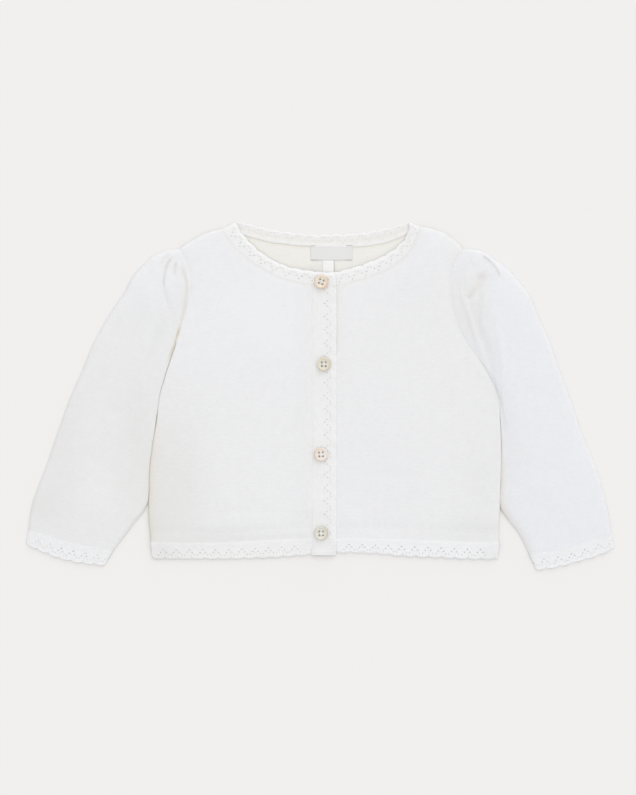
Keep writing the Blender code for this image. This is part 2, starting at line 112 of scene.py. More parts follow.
camera_data = bpy.data.cameras.new("overhead")
camera_data.lens, camera_data.sensor_width = LENS, SENSOR
camera = bpy.data.objects.new("overhead", camera_data)
camera_height = CLOTH_LEVEL + PICTURE_WIDTH * PICTURE[1] / PICTURE[0] * LENS / SENSOR
camera.location = (*PICTURE_CENTRE, camera_height)
bpy.context.scene.collection.objects.link(camera)
bpy.context.scene.camera = camera
bpy.context.scene.view_settings.view_transform = "Standard"
print("camera", round(camera_height, 3), "m above the table")

# %% Light
SKY_COLOUR, SKY_STRENGTH = (0.99, 0.99, 0.993), 0.84
Lamp = namedtuple("Lamp", "name strength colour width rise turn")
# rise: degrees above the table; turn: degrees from +X towards +Y; width: degrees across
LAMPS = (
    Lamp("ceiling", 0.555, (1.0, 0.998, 0.992), 80, 80, 70),
    Lamp("window", 0.75, (1.0, 0.998, 0.992), 50, 23, 74),
)

world = bpy.data.worlds.new("sky")
bpy.context.scene.world = world
world.use_nodes = True
sky = world.node_tree.nodes["Background"]
sky.inputs["Color"].default_value = (*SKY_COLOUR, 1)
sky.inputs["Strength"].default_value = SKY_STRENGTH

for lamp in LAMPS:
    data = bpy.data.lights.new(lamp.name, "SUN")
    data.color, data.energy, data.angle = lamp.colour, lamp.strength, radians(lamp.width)
    light = bpy.data.objects.new(lamp.name, data)
    light.rotation_euler = (0, radians(90 - lamp.rise), radians(lamp.turn))
    bpy.context.scene.collection.objects.link(light)
print("light from", [(lamp.name, lamp.rise, lamp.turn) for lamp in LAMPS])

# %% [markdown]
# ## Curves
#
# Every outline is a smooth curve through a few places, and every piece is the patch between four
# such curves. A patch keeps its corners and its edges exactly, and its inside follows them. `graded`
# puts the rows and columns closer together where the cloth bends most.

# %% Curves and patches
RIM = 0.04  # mm


def smooth(t):
    """From 0 to 1 as t goes from 0 to 1, with no corner at either end."""
    t = np.clip(t, 0, 1)
    return t * t * (3 - 2 * t)


def fading(distance, reach):
    """1 at a place, and fading softly to nothing over about twice a reach."""
    return np.exp(-((distance / reach) ** 2))


def spline(rows, at):
    """A smooth curve through the rows, read by their first column at the given places."""
    table = np.array(rows, float)
    knots, values = table[:, 0], table[:, 1:]
    slopes = np.gradient(values, knots, axis=0)
    at = np.clip(np.asarray(at, float), knots[0], knots[-1])
    i = np.clip(np.searchsorted(knots, at, side="right") - 1, 0, len(knots) - 2)
    step = (knots[i + 1] - knots[i])[..., None]
    t = (at - knots[i])[..., None] / step
    from_low = values[i] + slopes[i] * step * t
    from_high = values[i + 1] - slopes[i + 1] * step * (1 - t)
    blend = t * t * (3 - 2 * t)
    return from_low * (1 - blend) + from_high * blend


def chord_share(curve):
    """How far along a curve each of its points lies, from 0 to 1."""
    runs = np.hypot(*np.diff(curve, axis=0).T)
    return np.concatenate([[0], np.cumsum(runs)]) / runs.sum()


def through(points, at):
    """Places along a smooth curve through the points, 0 at its start and 1 at its end."""
    points = np.array(points, float)
    return spline(np.column_stack([chord_share(points), points]), at)


def chain(curves, shares, at):
    """Places along curves that follow each other, each with its share of them."""
    places = np.empty((len(at), 2))
    start = 0.0
    for curve, share in zip(curves, shares):
        inside = (at >= start - 1e-9) & (at <= start + share + 1e-9)
        places[inside] = through(curve, (at[inside] - start) / share)
        start += share
    return places


def patch(start, end, near, far, pull=1.0):
    """The plan between four curves: rows run from start to end, columns from near to far. With
    more pull than 1 the far curve's shape wins sooner than the near one's."""
    s = ((chord_share(near) + chord_share(far)) / 2)[:, None, None]
    t = ((chord_share(start) + chord_share(end)) / 2)[None, :, None]
    t = 1 - (1 - t) ** pull
    between = (1 - s) * start[None] + s * end[None] + (1 - t) * near[:, None] + t * far[:, None]
    first = (1 - t) * start[0] + t * start[-1]
    last = (1 - t) * end[0] + t * end[-1]
    return between - (1 - s) * first - s * last


def with_rims(at, length):
    """The shares with one more very close to each end, so that the shading runs right to the edge."""
    return np.concatenate([[0, RIM / length], at[1:-1], [1 - RIM / length, 1]])


def graded(length, cell, fine, near_start, near_end, marks=()):
    """Shares of a length from 0 to 1, a cell apart, and closer within a reach of its two ends."""
    place = np.linspace(0, length, 4001)
    open_space = np.minimum(smooth(place / near_start), smooth((length - place) / near_end))
    per_step = np.diff(place) / (fine + (cell - fine) * open_space[1:])
    count = np.concatenate([[0], np.cumsum(per_step)])
    at = np.interp(np.linspace(0, count[-1], round(count[-1]) + 1), count, place) / length
    for mark in marks:
        at[np.argmin(np.abs(at - mark))] = mark
    return with_rims(at, length)


def border_distances(plan):
    """How far each point of a plan lies from its first and last row and column, along the grid."""
    down = np.hypot(*np.moveaxis(np.diff(plan, axis=0), -1, 0))
    along = np.hypot(*np.moveaxis(np.diff(plan, axis=1), -1, 0))
    first_row = np.concatenate([np.zeros((1, plan.shape[1])), np.cumsum(down, axis=0)])
    first_column = np.concatenate([np.zeros((plan.shape[0], 1)), np.cumsum(along, axis=1)], axis=1)
    return first_row, first_row[-1:] - first_row, first_column, first_column[:, -1:] - first_column


print("graded example", graded(10, 2, 0.5, 2, 2).round(2))

# %% [markdown]
# ## The outlines
#
# These short tables hold the cut of the garment: half widths of the body at a height, the shoulder
# lines, and for each edging the seam that it hangs on and its free edge. They are the same sizes as
# the frame's, so the cloth lies where its collision shape is.

# %% Outlines, in millimetres
WALL, LACE_WALL, LAYER = 1.4, 1.1, 1.8
UNDERARM, SHOULDER_TIP = 126.0, 246.5
BAND_RIGHT, BAND_LEFT = -7.9, 11.5
UNDER_RIGHT, UNDER_LEFT = -5.4, 10.0
BAND_BOTTOM, UNDER_BOTTOM = 3.8, 6.4
RIGHT_LEAVES, LEFT_LEAVES = 178.0, 92.0  # where a sleeve leaves the body's side, coming down
LAP_START, LAP_END = -24.0, -4.0
FRONT_RISE, RISE_WITHIN, HEM_RISE, ARM_LIFT = 1.2, 16.0, 0.5, 14.0

Side = namedtuple("Side", "y right left")
SIDES = (
    Side(0, 134.0, 139.0),
    Side(20, 136.3, 140.0),
    Side(55, 136.9, 141.0),
    Side(90, 134.2, 141.6),
    Side(112, 130.6, 140.8),
    Side(UNDERARM, 129.2, 140.0),
    Side(142, 125.2, 134.6),
    Side(158, 120.1, 124.8),
    Side(174, 114.6, 113.6),
    Side(190, 109.6, 106.2),
    Side(205, 105.2, 102.7),
    Side(217, 103.5, 101.9),
    Side(230, 105.1, 103.4),
    Side(238, 108.0, 106.2),
    Side(SHOULDER_TIP, 112.2, 111.4),
)
Point = namedtuple("Point", "x y")
SHOULDER_RIGHT = (Point(-112.2, 246.5), Point(-102.7, 252.6), Point(-90, 258.9), Point(-79.4, 262))
SHOULDER_LEFT = (Point(111.4, 246.5), Point(101.1, 255.6), Point(90, 260.8), Point(77.8, 264))
Edging = namedtuple("Edging", "seam_x seam_y free_x free_y")
NECK_RIGHT = (
    Edging(-79.4, 262.0, -67.6, 267.0),
    Edging(-75.5, 255.5, -65.3, 261.6),
    Edging(-71.0, 249.6, -61.4, 256.4),
    Edging(-62.4, 241.0, -54.5, 248.9),
    Edging(-50.6, 232.3, -44.3, 240.6),
    Edging(-37.1, 225.0, -32.9, 234.4),
    Edging(-21.3, 219.8, -18.8, 230.2),
    Edging(-7.9, 217.2, -7.2, 228.3),
    Edging(11.4, 216.0, 10.6, 226.8),
)
NECK_LEFT = (
    Edging(-3.6, 216.4, -3.6, 227.2),
    Edging(10.4, 217.1, 9.4, 227.8),
    Edging(26.1, 220.4, 23.2, 231.0),
    Edging(41.9, 225.6, 37.8, 235.8),
    Edging(57.7, 233.8, 51.5, 242.4),
    Edging(67.4, 242.6, 60.5, 249.0),
    Edging(73.4, 252.8, 66.6, 256.4),
    Edging(77.8, 264.0, 69.2, 266.8),
)
NECK_BACK = (
    Edging(-78.6, 262.4, -67.6, 267.8),
    Edging(-62.0, 257.2, -56.0, 265.0),
    Edging(-49.0, 253.4, -45.5, 262.3),
    Edging(-29.2, 249.9, -27.5, 259.4),
    Edging(-13.4, 248.4, -13.0, 257.8),
    Edging(8.0, 247.6, 8.0, 257.4),
    Edging(26.1, 247.8, 26.5, 258.3),
    Edging(41.9, 249.4, 42.0, 260.6),
    Edging(56.1, 253.0, 54.4, 263.4),
    Edging(76.4, 263.6, 69.2, 267.6),
)
HEM_RIGHT = (
    Edging(-135.2, 14.4, -133.9, 0.4),
    Edging(-100.0, 13.8, -100.0, 0.4),
    Edging(-57.0, 15.0, -57.0, 0.9),
    Edging(-25.0, 16.8, -25.0, 2.5),
    Edging(-7.9, 17.2, -7.9, 3.8),
)
HEM_LEFT = (
    Edging(10.4, 17.2, 10.4, 5.4),
    Edging(38.0, 17.0, 38.0, 4.9),
    Edging(62.0, 16.6, 62.0, 2.7),
    Edging(93.0, 15.4, 93.0, 1.4),
    Edging(120.0, 14.4, 120.0, 0.2),
    Edging(139.6, 14.4, 139.0, 0.2),
)
HEM_BACK = (
    Edging(-135.2, 14.4, -134.0, 1.4),
    Edging(-57.0, 15.0, -57.0, 2.2),
    Edging(0.0, 16.8, 0.0, 5.2),
    Edging(62.0, 16.6, 62.0, 4.0),
    Edging(139.6, 14.4, 139.0, 1.4),
)
CUFF_RIGHT = (
    Edging(-232.4, 23.9, -234.8, 12.8),
    Edging(-214.9, 18.6, -217.0, 4.8),
    Edging(-199.0, 13.8, -201.0, -0.4),
    Edging(-182.0, 10.6, -186.0, -3.0),
    Edging(-164.8, 7.6, -171.8, -4.6),
)
CUFF_LEFT = (
    Edging(229.8, 19.6, 231.8, 9.6),
    Edging(213.0, 16.0, 217.3, 3.2),
    Edging(199.1, 10.6, 203.8, -0.8),
    Edging(182.0, 6.6, 186.0, -5.6),
    Edging(163.2, 5.6, 169.2, -8.0),
)
BAND_OVER = (
    Edging(BAND_RIGHT, BAND_BOTTOM, BAND_LEFT, BAND_BOTTOM),
    Edging(BAND_RIGHT, 110.0, BAND_LEFT, 109.6),
    Edging(BAND_RIGHT, 217.0, BAND_LEFT, 216.0),
)
BAND_UNDER = (
    Edging(UNDER_RIGHT, UNDER_BOTTOM, UNDER_LEFT, UNDER_BOTTOM),
    Edging(UNDER_RIGHT, 110.0, UNDER_LEFT, 110.0),
    Edging(UNDER_RIGHT, 216.2, UNDER_LEFT, 216.9),
)
SLEEVE_RIGHT_OUTER = (
    Point(-127.0, 243.6),
    Point(-140.4, 234.2),
    Point(-157.6, 209.4),
    Point(-175.0, 182.2),
    Point(-189.4, 150.6),
    Point(-208.4, 103.4),
    Point(-219.4, 71.1),
    Point(-225.6, 55.4),
    Point(-230.2, 40.0),
)
SLEEVE_RIGHT_INNER = (
    Point(-132.2, 103.0),
    Point(-135.1, 82.0),
    Point(-136.6, 64.0),
    Point(-136.9, 50.0),
    Point(-139.2, 42.0),
    Point(-148.0, 30.0),
)
SLEEVE_LEFT_OUTER = (
    Point(124.8, 244.9),
    Point(137.5, 237.2),
    Point(155.0, 221.4),
    Point(172.2, 190.2),
    Point(190.6, 143.4),
    Point(206.6, 98.6),
    Point(224.4, 47.4),
)
SLEEVE_LEFT_INNER = (
    Point(141.6, 95.0),
    Point(141.5, 75.0),
    Point(141.2, 58.0),
    Point(140.7, 44.5),
    Point(146.0, 33.6),
    Point(155.6, 20.5),
)
Height = namedtuple("Height", "along middle fold")
SLEEVE_HEIGHTS = (
    Height(0.00, 3.2, 3.2),
    Height(0.05, 5.6, 3.2),
    Height(0.12, 7.6, 3.1),
    Height(0.22, 7.2, 3.0),
    Height(0.40, 5.6, 2.8),
    Height(0.65, 4.6, 2.7),
    Height(0.90, 3.9, 2.7),
    Height(1.00, 3.0, 2.8),
)
CUFF_HEIGHT = 3.0


def side_x(y, left):
    """x of the body's side or armhole edge at a height."""
    widths = spline(SIDES, y)
    return widths[..., 1] if left else -widths[..., 0]


def seam_line(rows):
    """Where an edging is sewn on."""
    return np.array([(row.seam_x, row.seam_y) for row in rows])


def seam_run(rows, first, last):
    """The same seam as many places, from one of its rows to another."""
    line = seam_line(rows)
    share = chord_share(line)
    return through(line, np.linspace(share[first], share[last], 80))


def free_line(rows):
    """The line that an edging's lobes reach."""
    return np.array([(row.free_x, row.free_y) for row in rows])


print("body", SIDES[0].right + SIDES[0].left, "mm wide at the hem, shoulders at", SHOULDER_TIP)

# %% [markdown]
# ## How high the cloth lies
#
# Knitted cloth that is laid out never lies quite flat. The fronts rest on the back at the side seams
# and float a little above it inside. Two kinds of listed forms make the rest: a *swell* is a
# broad soft hill with its own reach on each side, and a *crease* is a groove or a ridge along a
# curved line, with one lip that may stand up, as a pressed pleat does. A cloth simulation would lay
# the layers down too, but its folds would fall where they like, and pleats are sewn to a place.

# %% Floors, swells and creases
Swell = namedtuple("Swell", "x y height left right down up")
Crease = namedtuple("Crease", "deep wide_start wide_end lip fade_start fade_end cream points")


def settle(distance):
    """The share of the rise that cloth has at a distance from an edge that is held down."""
    return 1 - np.exp(-np.clip(distance, 0, None) / RISE_WITHIN)


def front_floor(x, y):
    """Underside of the fronts: on the back at the sides and shoulders, a little above elsewhere."""
    from_side = np.minimum(side_x(y, True) - x, x - side_x(y, False))
    slope = (SHOULDER_LEFT[-1].y - SHOULDER_TIP) / (SHOULDER_LEFT[0].x - SHOULDER_LEFT[-1].x)
    from_shoulder = SHOULDER_TIP + slope * (SHOULDER_LEFT[0].x - np.abs(x)) - y
    lifted = from_side + ARM_LIFT * smooth((y - UNDERARM) / 30)
    hem = HEM_RISE + (1 - HEM_RISE) * settle(y)
    return LAYER + FRONT_RISE * hem * settle(lifted) * settle(2 * from_shoulder + 4)


def lapping_floor(x, y):
    """The same for the right front and its band, which climb onto the band below them."""
    return front_floor(x, y) + LAYER * smooth((x - LAP_START) / (LAP_END - LAP_START))


def back_floor(x, y):
    """The table itself."""
    return np.zeros(np.shape(x))


def swell_height(x, y, swells):
    """The summed heights of the swells at each place."""
    total = np.zeros(np.shape(x))
    for hill in swells:
        across = (x - hill.x) / np.where(x < hill.x, hill.left, hill.right)
        along = (y - hill.y) / np.where(y < hill.y, hill.down, hill.up)
        total += hill.height * np.exp(-across * across - along * along)
    return total


def crease_depth(x, y, creases):
    """How far the creases take the cloth down at each place, less than nothing on a lip or ridge,
    and how much warm shade is painted in them."""
    total, cream = np.zeros(np.shape(x)), np.zeros(np.shape(x))
    for crease in creases:
        line = through(crease.points, np.linspace(0, 1, 25))
        reach = 5 * max(crease.wide_start, crease.wide_end)
        low, high = line.min(0) - reach, line.max(0) + reach
        near = (x > low[0]) & (x < high[0]) & (y > low[1]) & (y < high[1])
        if not near.any():
            continue
        start, run = line[:-1], np.diff(line, axis=0)
        from_x, from_y = x[near][:, None] - start[:, 0], y[near][:, None] - start[:, 1]
        t = np.clip((from_x * run[:, 0] + from_y * run[:, 1]) / (run**2).sum(1), 0, 1)
        from_x, from_y = from_x - t * run[:, 0], from_y - t * run[:, 1]
        distance = np.hypot(from_x, from_y)
        best = np.argmin(distance, axis=1)
        pick = (np.arange(len(best)), best)
        left = np.sign(run[best, 0] * from_y[pick] - run[best, 1] * from_x[pick])
        along = (best + t[pick]) / len(run)
        wide = crease.wide_start + (crease.wide_end - crease.wide_start) * along
        fade = smooth(along / crease.fade_start) * smooth((1 - along) / crease.fade_end)
        aside = left * distance[pick] / wide
        groove = crease.deep * np.exp(-aside * aside)
        lip = abs(crease.lip) * fading(aside - 1.7 * np.sign(crease.lip), 1.1)
        total[near] += fade * (groove - lip)
        cream[near] += fade * crease.cream * np.exp(-aside * aside)
    return total, cream


print("front rests", float(front_floor(0, 120).round(2)), "mm up at its middle")

# %% [markdown]
# ## Painted light and shade on the whites
#
# Some of the light and shade on the cloth is painted into its colour. Where the cloth turns away from
# the window it is painted dimmer, next to the buttons and on the chest it is painted lighter, and one
# sleeve is painted as if it lay in a cooler light than the rest. The same soft hills that shape the
# cloth hold this: the first table below says how much lighter or dimmer a place is painted, and the
# second how much cooler or warmer its painted light is. They end up as masks on the cloth, which the
# knitted finishes read. A painted picture would do it too, but a hill is only a few numbers.

# %% Painted light and shade of the cloth
PAINTED_LIGHT_AND_SHADE = (
    Swell(-118, 52, -0.72, 24, 26, 80, 66),
    Swell(-60, 190, 0.2, 50, 40, 50, 60),
    Swell(-205, 110, -0.4, 30, 14, 70, 80),
    Swell(-150, 210, 0.15, 30, 20, 40, 30),
    Swell(-226, 38, -0.3, 14, 20, 12, 14),
    Swell(-158, 62, -0.2, 14, 12, 14, 14),
    Swell(132, 70, -0.34, 24, 20, 50, 44),
    Swell(118, 205, -0.12, 16, 16, 40, 30),
    Swell(60, 60, -0.06, 30, 40, 60, 60),
    Swell(-24, 206, 0.35, 24, 14, 40, 20),
    Swell(24, 212, 0.15, 14, 30, 30, 14),
    Swell(-4, 35.5, -0.4, 14, 16, 5, 5),
    Swell(-75, 130, -0.09, 34, 34, 30, 34),
    Swell(-130, 4, -1.5, 14, 12, 14, 8),
    Swell(-132, 28, -0.25, 12, 12, 12, 16),
    Swell(135, 6, -1.2, 11, 12, 8, 5.5),
    Swell(-76, 20, -0.35, 26, 22, 7, 7),
    Swell(125, 22, -0.5, 36, 20, 9, 12),
    Swell(34, 17, 0.2, 20, 20, 6, 6),
    Swell(-1, 7, 1.1, 9, 9, 6, 7),
    Swell(-0.6, 217.6, 0.5, 6, 6, 6, 6),
    Swell(1.4, 151.6, 0.9, 6, 6, 6, 6),
    Swell(-0.8, 80.6, 0.9, 6, 6, 6, 6),
    Swell(-0.7, 18.3, 0.9, 6, 6, 6, 6),
    Swell(-145, 95, -0.2, 14, 10, 28, 24),
    Swell(-178, 48, 0.2, 16, 16, 16, 16),
    Swell(-222, 48, -0.2, 12, 14, 10, 14),
)
# shares of cooler painted light on the fronts, the right sleeve and the left sleeve; the hills below add to
# them or take from them
BODY_COOL, RIGHT_COOL, LEFT_COOL = 0.22, 0.07, 1.0  # fronts, right sleeve, left sleeve
COOLS = (
    Swell(-70, 205, 0.35, 60, 40, 60, 40),
    Swell(95, 235, 0.35, 40, 14, 26, 30),
    Swell(-150, 225, 0.5, 40, 40, 30, 20),
    Swell(30, 60, 0.15, 30, 50, 50, 60),
    Swell(112, 200, -0.9, 20, 18, 60, 60),
    Swell(-120, 60, -0.3, 30, 26, 60, 60),
)
print(len(PAINTED_LIGHT_AND_SHADE), "tones and", len(COOLS), "tints")

# %% [markdown]
# ## From a grid to a shell
#
# Each piece of cloth is one closed shell: an outer grid, an inner grid a cloth's thickness behind
# it, and a rounded wall round every edge. Cells may be left out of the grid, and then the hole gets
# the same rounded wall, which is how the eyelets of the lace are made. A Solidify modifier would
# give square edges, and cutting hundreds of eyelets with Booleans would take minutes.

# %% Shells
# Grids of a cloth's two sides, its own coordinates, and three masks from 0 to 1: how much warm shade is
# painted on a place, how far its colour goes from a painted dim white towards a painted lit white,
# and how cool its painted light is
Cloth = namedtuple("Cloth", "outer inner uv crevice white cool", defaults=(0.0,))
MASKS = ("crevice", "white", "cool")
SEWN_ROLL = 0.2  # an edge that is rounded less than this lies in a seam, and isn't shaded smooth


def mesh_object(name, points, faces, finish):
    """An object in the frame, from points in the garment's millimetres."""
    mesh = bpy.data.meshes.new(name)
    mesh.from_pydata(((np.asarray(points, float) + SHIFT) * MM).tolist(), [], faces)
    mesh.materials.append(finish)
    mesh.shade_smooth()
    made = bpy.data.objects.new(name, mesh)
    bpy.context.scene.collection.objects.link(made)
    return made


def boundary_edges(quads):
    """The directed edges that only one quad has."""
    edges = np.concatenate([quads[:, [k, (k + 1) % 4]] for k in range(4)])
    key = edges.min(1) * (edges.max() + 1) + edges.max(1)
    _, first, times = np.unique(key, return_index=True, return_counts=True)
    return edges[first[times == 1]]


def grid_quads(cloth, keep, closed):
    """The cells of a cloth's grid that are kept, turned to face outwards."""
    rows, columns = cloth.outer.shape[:2]
    cells = columns if closed else columns - 1
    if keep is None:
        keep = np.ones((rows - 1, cells), bool)
    index = np.arange(rows * columns).reshape(rows, columns)
    following = np.roll(index, -1, axis=1)[:, :cells]
    here = index[:, :cells]
    quads = np.stack([here[:-1], following[:-1], following[1:], here[1:]], axis=-1)[keep]
    outer, inner = cloth.outer.reshape(-1, 3), cloth.inner.reshape(-1, 3)
    a, b, d = (outer[quads[:, k]] for k in (0, 1, 3))
    facing = (np.cross(b - a, d - a) * (outer - inner)[quads[:, 0]]).sum()
    return quads[:, ::-1] if facing < 0 else quads


def unit(vectors):
    """The same directions, each with a length of 1."""
    return vectors / (np.linalg.norm(vectors, axis=1)[:, None] + 1e-9)


def rim_middles(outer, inner, rim, on_rim, roll):
    """Points halfway through the cloth along its rims, pushed out to make the walls round."""
    through_cloth = outer - inner
    side = unit(np.cross(outer[rim[:, 1]] - outer[rim[:, 0]], through_cloth[rim[:, 0]]))
    outwards = np.zeros_like(outer)
    np.add.at(outwards, rim[:, 0], side)
    np.add.at(outwards, rim[:, 1], side)
    thick = np.linalg.norm(through_cloth[on_rim], axis=1)[:, None]
    return (outer[on_rim] + inner[on_rim]) / 2 + unit(outwards[on_rim]) * thick * roll[:, None] / 2


def shell(name, cloth, finish, keep=None, closed=False, roll=0.05):
    """A closed shell with rounded walls at its edges and round the cells that aren't kept."""
    grid = cloth.outer.shape[:2]
    count = grid[0] * grid[1]
    outer, inner = cloth.outer.reshape(-1, 3), cloth.inner.reshape(-1, 3)
    quads = grid_quads(cloth, keep, closed)
    rim = boundary_edges(quads)
    on_rim = np.unique(rim)
    roll = np.broadcast_to(roll, grid).ravel()[on_rim]
    place = np.zeros(count, int)
    place[on_rim] = np.arange(len(on_rim))
    low, high = rim[:, 0], rim[:, 1]
    low_mid, high_mid = 2 * count + place[low], 2 * count + place[high]
    walls = [
        np.stack([high, low, low_mid, high_mid], axis=1),
        np.stack([high_mid, low_mid, low + count, high + count], axis=1),
    ]
    faces = np.concatenate([quads, quads[:, ::-1] + count, *walls])
    points = np.concatenate([outer, inner, rim_middles(outer, inner, rim, on_rim, roll)])
    used, compact = np.unique(faces, return_inverse=True)
    faces = compact.reshape(faces.shape)
    made = mesh_object(name, points[used], faces.tolist(), finish)

    def spread(values):
        return np.concatenate([values, values, values[on_rim]])[used]

    sewn = (roll < SEWN_ROLL)[place[low]]
    flat = np.concatenate([np.zeros(2 * len(quads), bool), sewn, sewn])
    made.data.attributes.new("sharp_face", "BOOLEAN", "FACE").data.foreach_set("value", flat)
    uv = spread(cloth.uv.reshape(-1, 2))
    layer = made.data.uv_layers.new(name="cloth")
    layer.data.foreach_set("uv", uv[faces.ravel()].astype(np.float32).ravel())
    for label in MASKS:
        value = spread(np.broadcast_to(getattr(cloth, label), grid).ravel())
        mask = made.data.attributes.new(label, "FLOAT", "POINT")
        mask.data.foreach_set("value", np.clip(value, 0, 1).astype(np.float32))
    print(name, 2 * len(faces), "triangles")
    return made


print("each cloth carries the masks", MASKS)

# %% [markdown]
# ## Stocking stitch as a node group
#
# Fine stocking stitch is a field of small V-shaped loops, about 1.4 mm wide and 1 mm high. That is
# too small to model loop by loop for a whole garment, so it is a height pattern that a Bump node
# reads. The group takes the cloth's own coordinates in millimetres and gives the height of the
# loops and an uneven shade, because hand-washed cotton is never one even white. All the knitted
# materials use the same group with their own loop sizes.

# %% Node helpers


def group_of(name, inputs, outputs):
    """An empty shader node group with named float or vector sockets."""
    tree = bpy.data.node_groups.new(name, "ShaderNodeTree")
    for label, kind, value in inputs:
        made = tree.interface.new_socket(label, in_out="INPUT", socket_type=kind)
        if value is not None:
            made.default_value = value
    for label, kind in outputs:
        tree.interface.new_socket(label, in_out="OUTPUT", socket_type=kind)
    return tree, tree.nodes.new("NodeGroupInput"), tree.nodes.new("NodeGroupOutput")


def plug(tree, socket, value):
    """Links another socket to a socket, or sets its number."""
    if isinstance(value, bpy.types.NodeSocket):
        tree.links.new(value, socket)
    else:
        socket.default_value = value


def calc(tree, operation, *values):
    """The result of a Math node with these numbers or sockets."""
    node = tree.nodes.new("ShaderNodeMath")
    node.operation = operation
    for socket, value in zip(node.inputs, values):
        plug(tree, socket, value)
    return node.outputs[0]


def arch(tree, t):
    """A round arch over 0 to 1 that is 1 high at its middle."""
    return calc(tree, "MULTIPLY", calc(tree, "MULTIPLY", t, calc(tree, "SUBTRACT", 1.0, t)), 4.0)


def noise(tree, vector, scale, detail=2.0, rough=0.5):
    """A soft mottle from 0 to 1."""
    node = tree.nodes.new("ShaderNodeTexNoise")
    plug(tree, node.inputs["Vector"], vector)
    node.inputs["Scale"].default_value = scale
    node.inputs["Detail"].default_value = detail
    node.inputs["Roughness"].default_value = rough
    return node.outputs["Fac"]


def mix_colours(tree, share, first, second):
    """The first colour where the share is 0, and the second where it is 1."""
    node = tree.nodes.new("ShaderNodeMix")
    node.data_type = "RGBA"
    plug(tree, node.inputs["Factor"], share)
    plug(tree, node.inputs[6], first)
    plug(tree, node.inputs[7], second)
    return node.outputs[2]


def use_group(tree, group, **values):
    """A group's node, with its inputs set by name."""
    node = tree.nodes.new("ShaderNodeGroup")
    node.node_tree = group
    for label, value in values.items():
        plug(tree, node.inputs[label], value)
    return node


def new_finish(name, surface):
    """A material, its node tree and its shader, with the values that are the same all over it."""
    made = bpy.data.materials.new(name)
    made.use_nodes = True
    shader = made.node_tree.nodes["Principled BSDF"]
    for label, value in surface.items():
        shader.inputs[label].default_value = value
    return made, made.node_tree, shader


def on_cloth(tree):
    """The cloth's own coordinates, in millimetres."""
    node = tree.nodes.new("ShaderNodeUVMap")
    node.uv_map = "cloth"
    return node.outputs[0]


def mask_of(tree, name):
    """The mask of that name that a piece carries."""
    node = tree.nodes.new("ShaderNodeAttribute")
    node.attribute_name = name
    return node.outputs["Fac"]


def raise_surface(tree, shader, height, strength, distance):
    """Shades a surface as if a pattern stood up to a distance in millimetres off it."""
    bump = tree.nodes.new("ShaderNodeBump")
    bump.inputs["Strength"].default_value = strength
    bump.inputs["Distance"].default_value = distance * MM
    tree.links.new(height, bump.inputs["Height"])
    tree.links.new(bump.outputs[0], shader.inputs["Normal"])


print("node helpers ready")

# %% Stocking stitch group
stitch_group, given, made_out = group_of(
    "stocking_stitch",
    [
        ("Place", "NodeSocketVector", None),
        ("Wale", "NodeSocketFloat", 1.4),
        ("Course", "NodeSocketFloat", 1.0),
        ("Wander", "NodeSocketFloat", 0.25),
    ],
    [("Loops", "NodeSocketFloat"), ("Shade", "NodeSocketFloat")],
)
tree = stitch_group
split = tree.nodes.new("ShaderNodeSeparateXYZ")
tree.links.new(given.outputs["Place"], split.inputs[0])
drift_x = calc(tree, "SUBTRACT", noise(tree, given.outputs["Place"], 0.35), 0.5)
drift_y = calc(tree, "SUBTRACT", noise(tree, given.outputs["Place"], 0.27), 0.5)
moved_x = calc(tree, "MULTIPLY_ADD", drift_x, given.outputs["Wander"], split.outputs[0])
moved_y = calc(tree, "MULTIPLY_ADD", drift_y, given.outputs["Wander"], split.outputs[1])
column = calc(tree, "FRACT", calc(tree, "DIVIDE", moved_x, given.outputs["Wale"]))
off_middle = calc(tree, "ABSOLUTE", calc(tree, "SUBTRACT", column, 0.5))
from_middle = calc(tree, "MULTIPLY", off_middle, 2.0)
courses = calc(tree, "DIVIDE", moved_y, given.outputs["Course"])
leaning = calc(tree, "MULTIPLY_ADD", from_middle, -0.7, courses)
round_leg = arch(tree, calc(tree, "FRACT", leaning))
round_wale = arch(tree, from_middle)
loop = calc(tree, "MULTIPLY", calc(tree, "POWER", round_leg, 0.6), calc(tree, "POWER", round_wale, 0.5))
fluff = noise(tree, given.outputs["Place"], 2.6, 3.0, 0.6)
tree.links.new(calc(tree, "MULTIPLY_ADD", fluff, 0.5, loop), made_out.inputs["Loops"])
patchy = noise(tree, given.outputs["Place"], 0.12, 3.0, 0.6)
along_rows = tree.nodes.new("ShaderNodeVectorMath")
along_rows.operation = "MULTIPLY"
tree.links.new(given.outputs["Place"], along_rows.inputs[0])
along_rows.inputs[1].default_value = (0.45, 1.0, 1.0)
streaks = noise(tree, along_rows.outputs[0], 0.55, 2.0, 0.7)
shade = calc(tree, "ADD", calc(tree, "MULTIPLY", patchy, 0.35), calc(tree, "MULTIPLY", streaks, 0.65))
tree.links.new(shade, made_out.inputs["Shade"])
print("stocking stitch:", len(tree.nodes), "nodes")
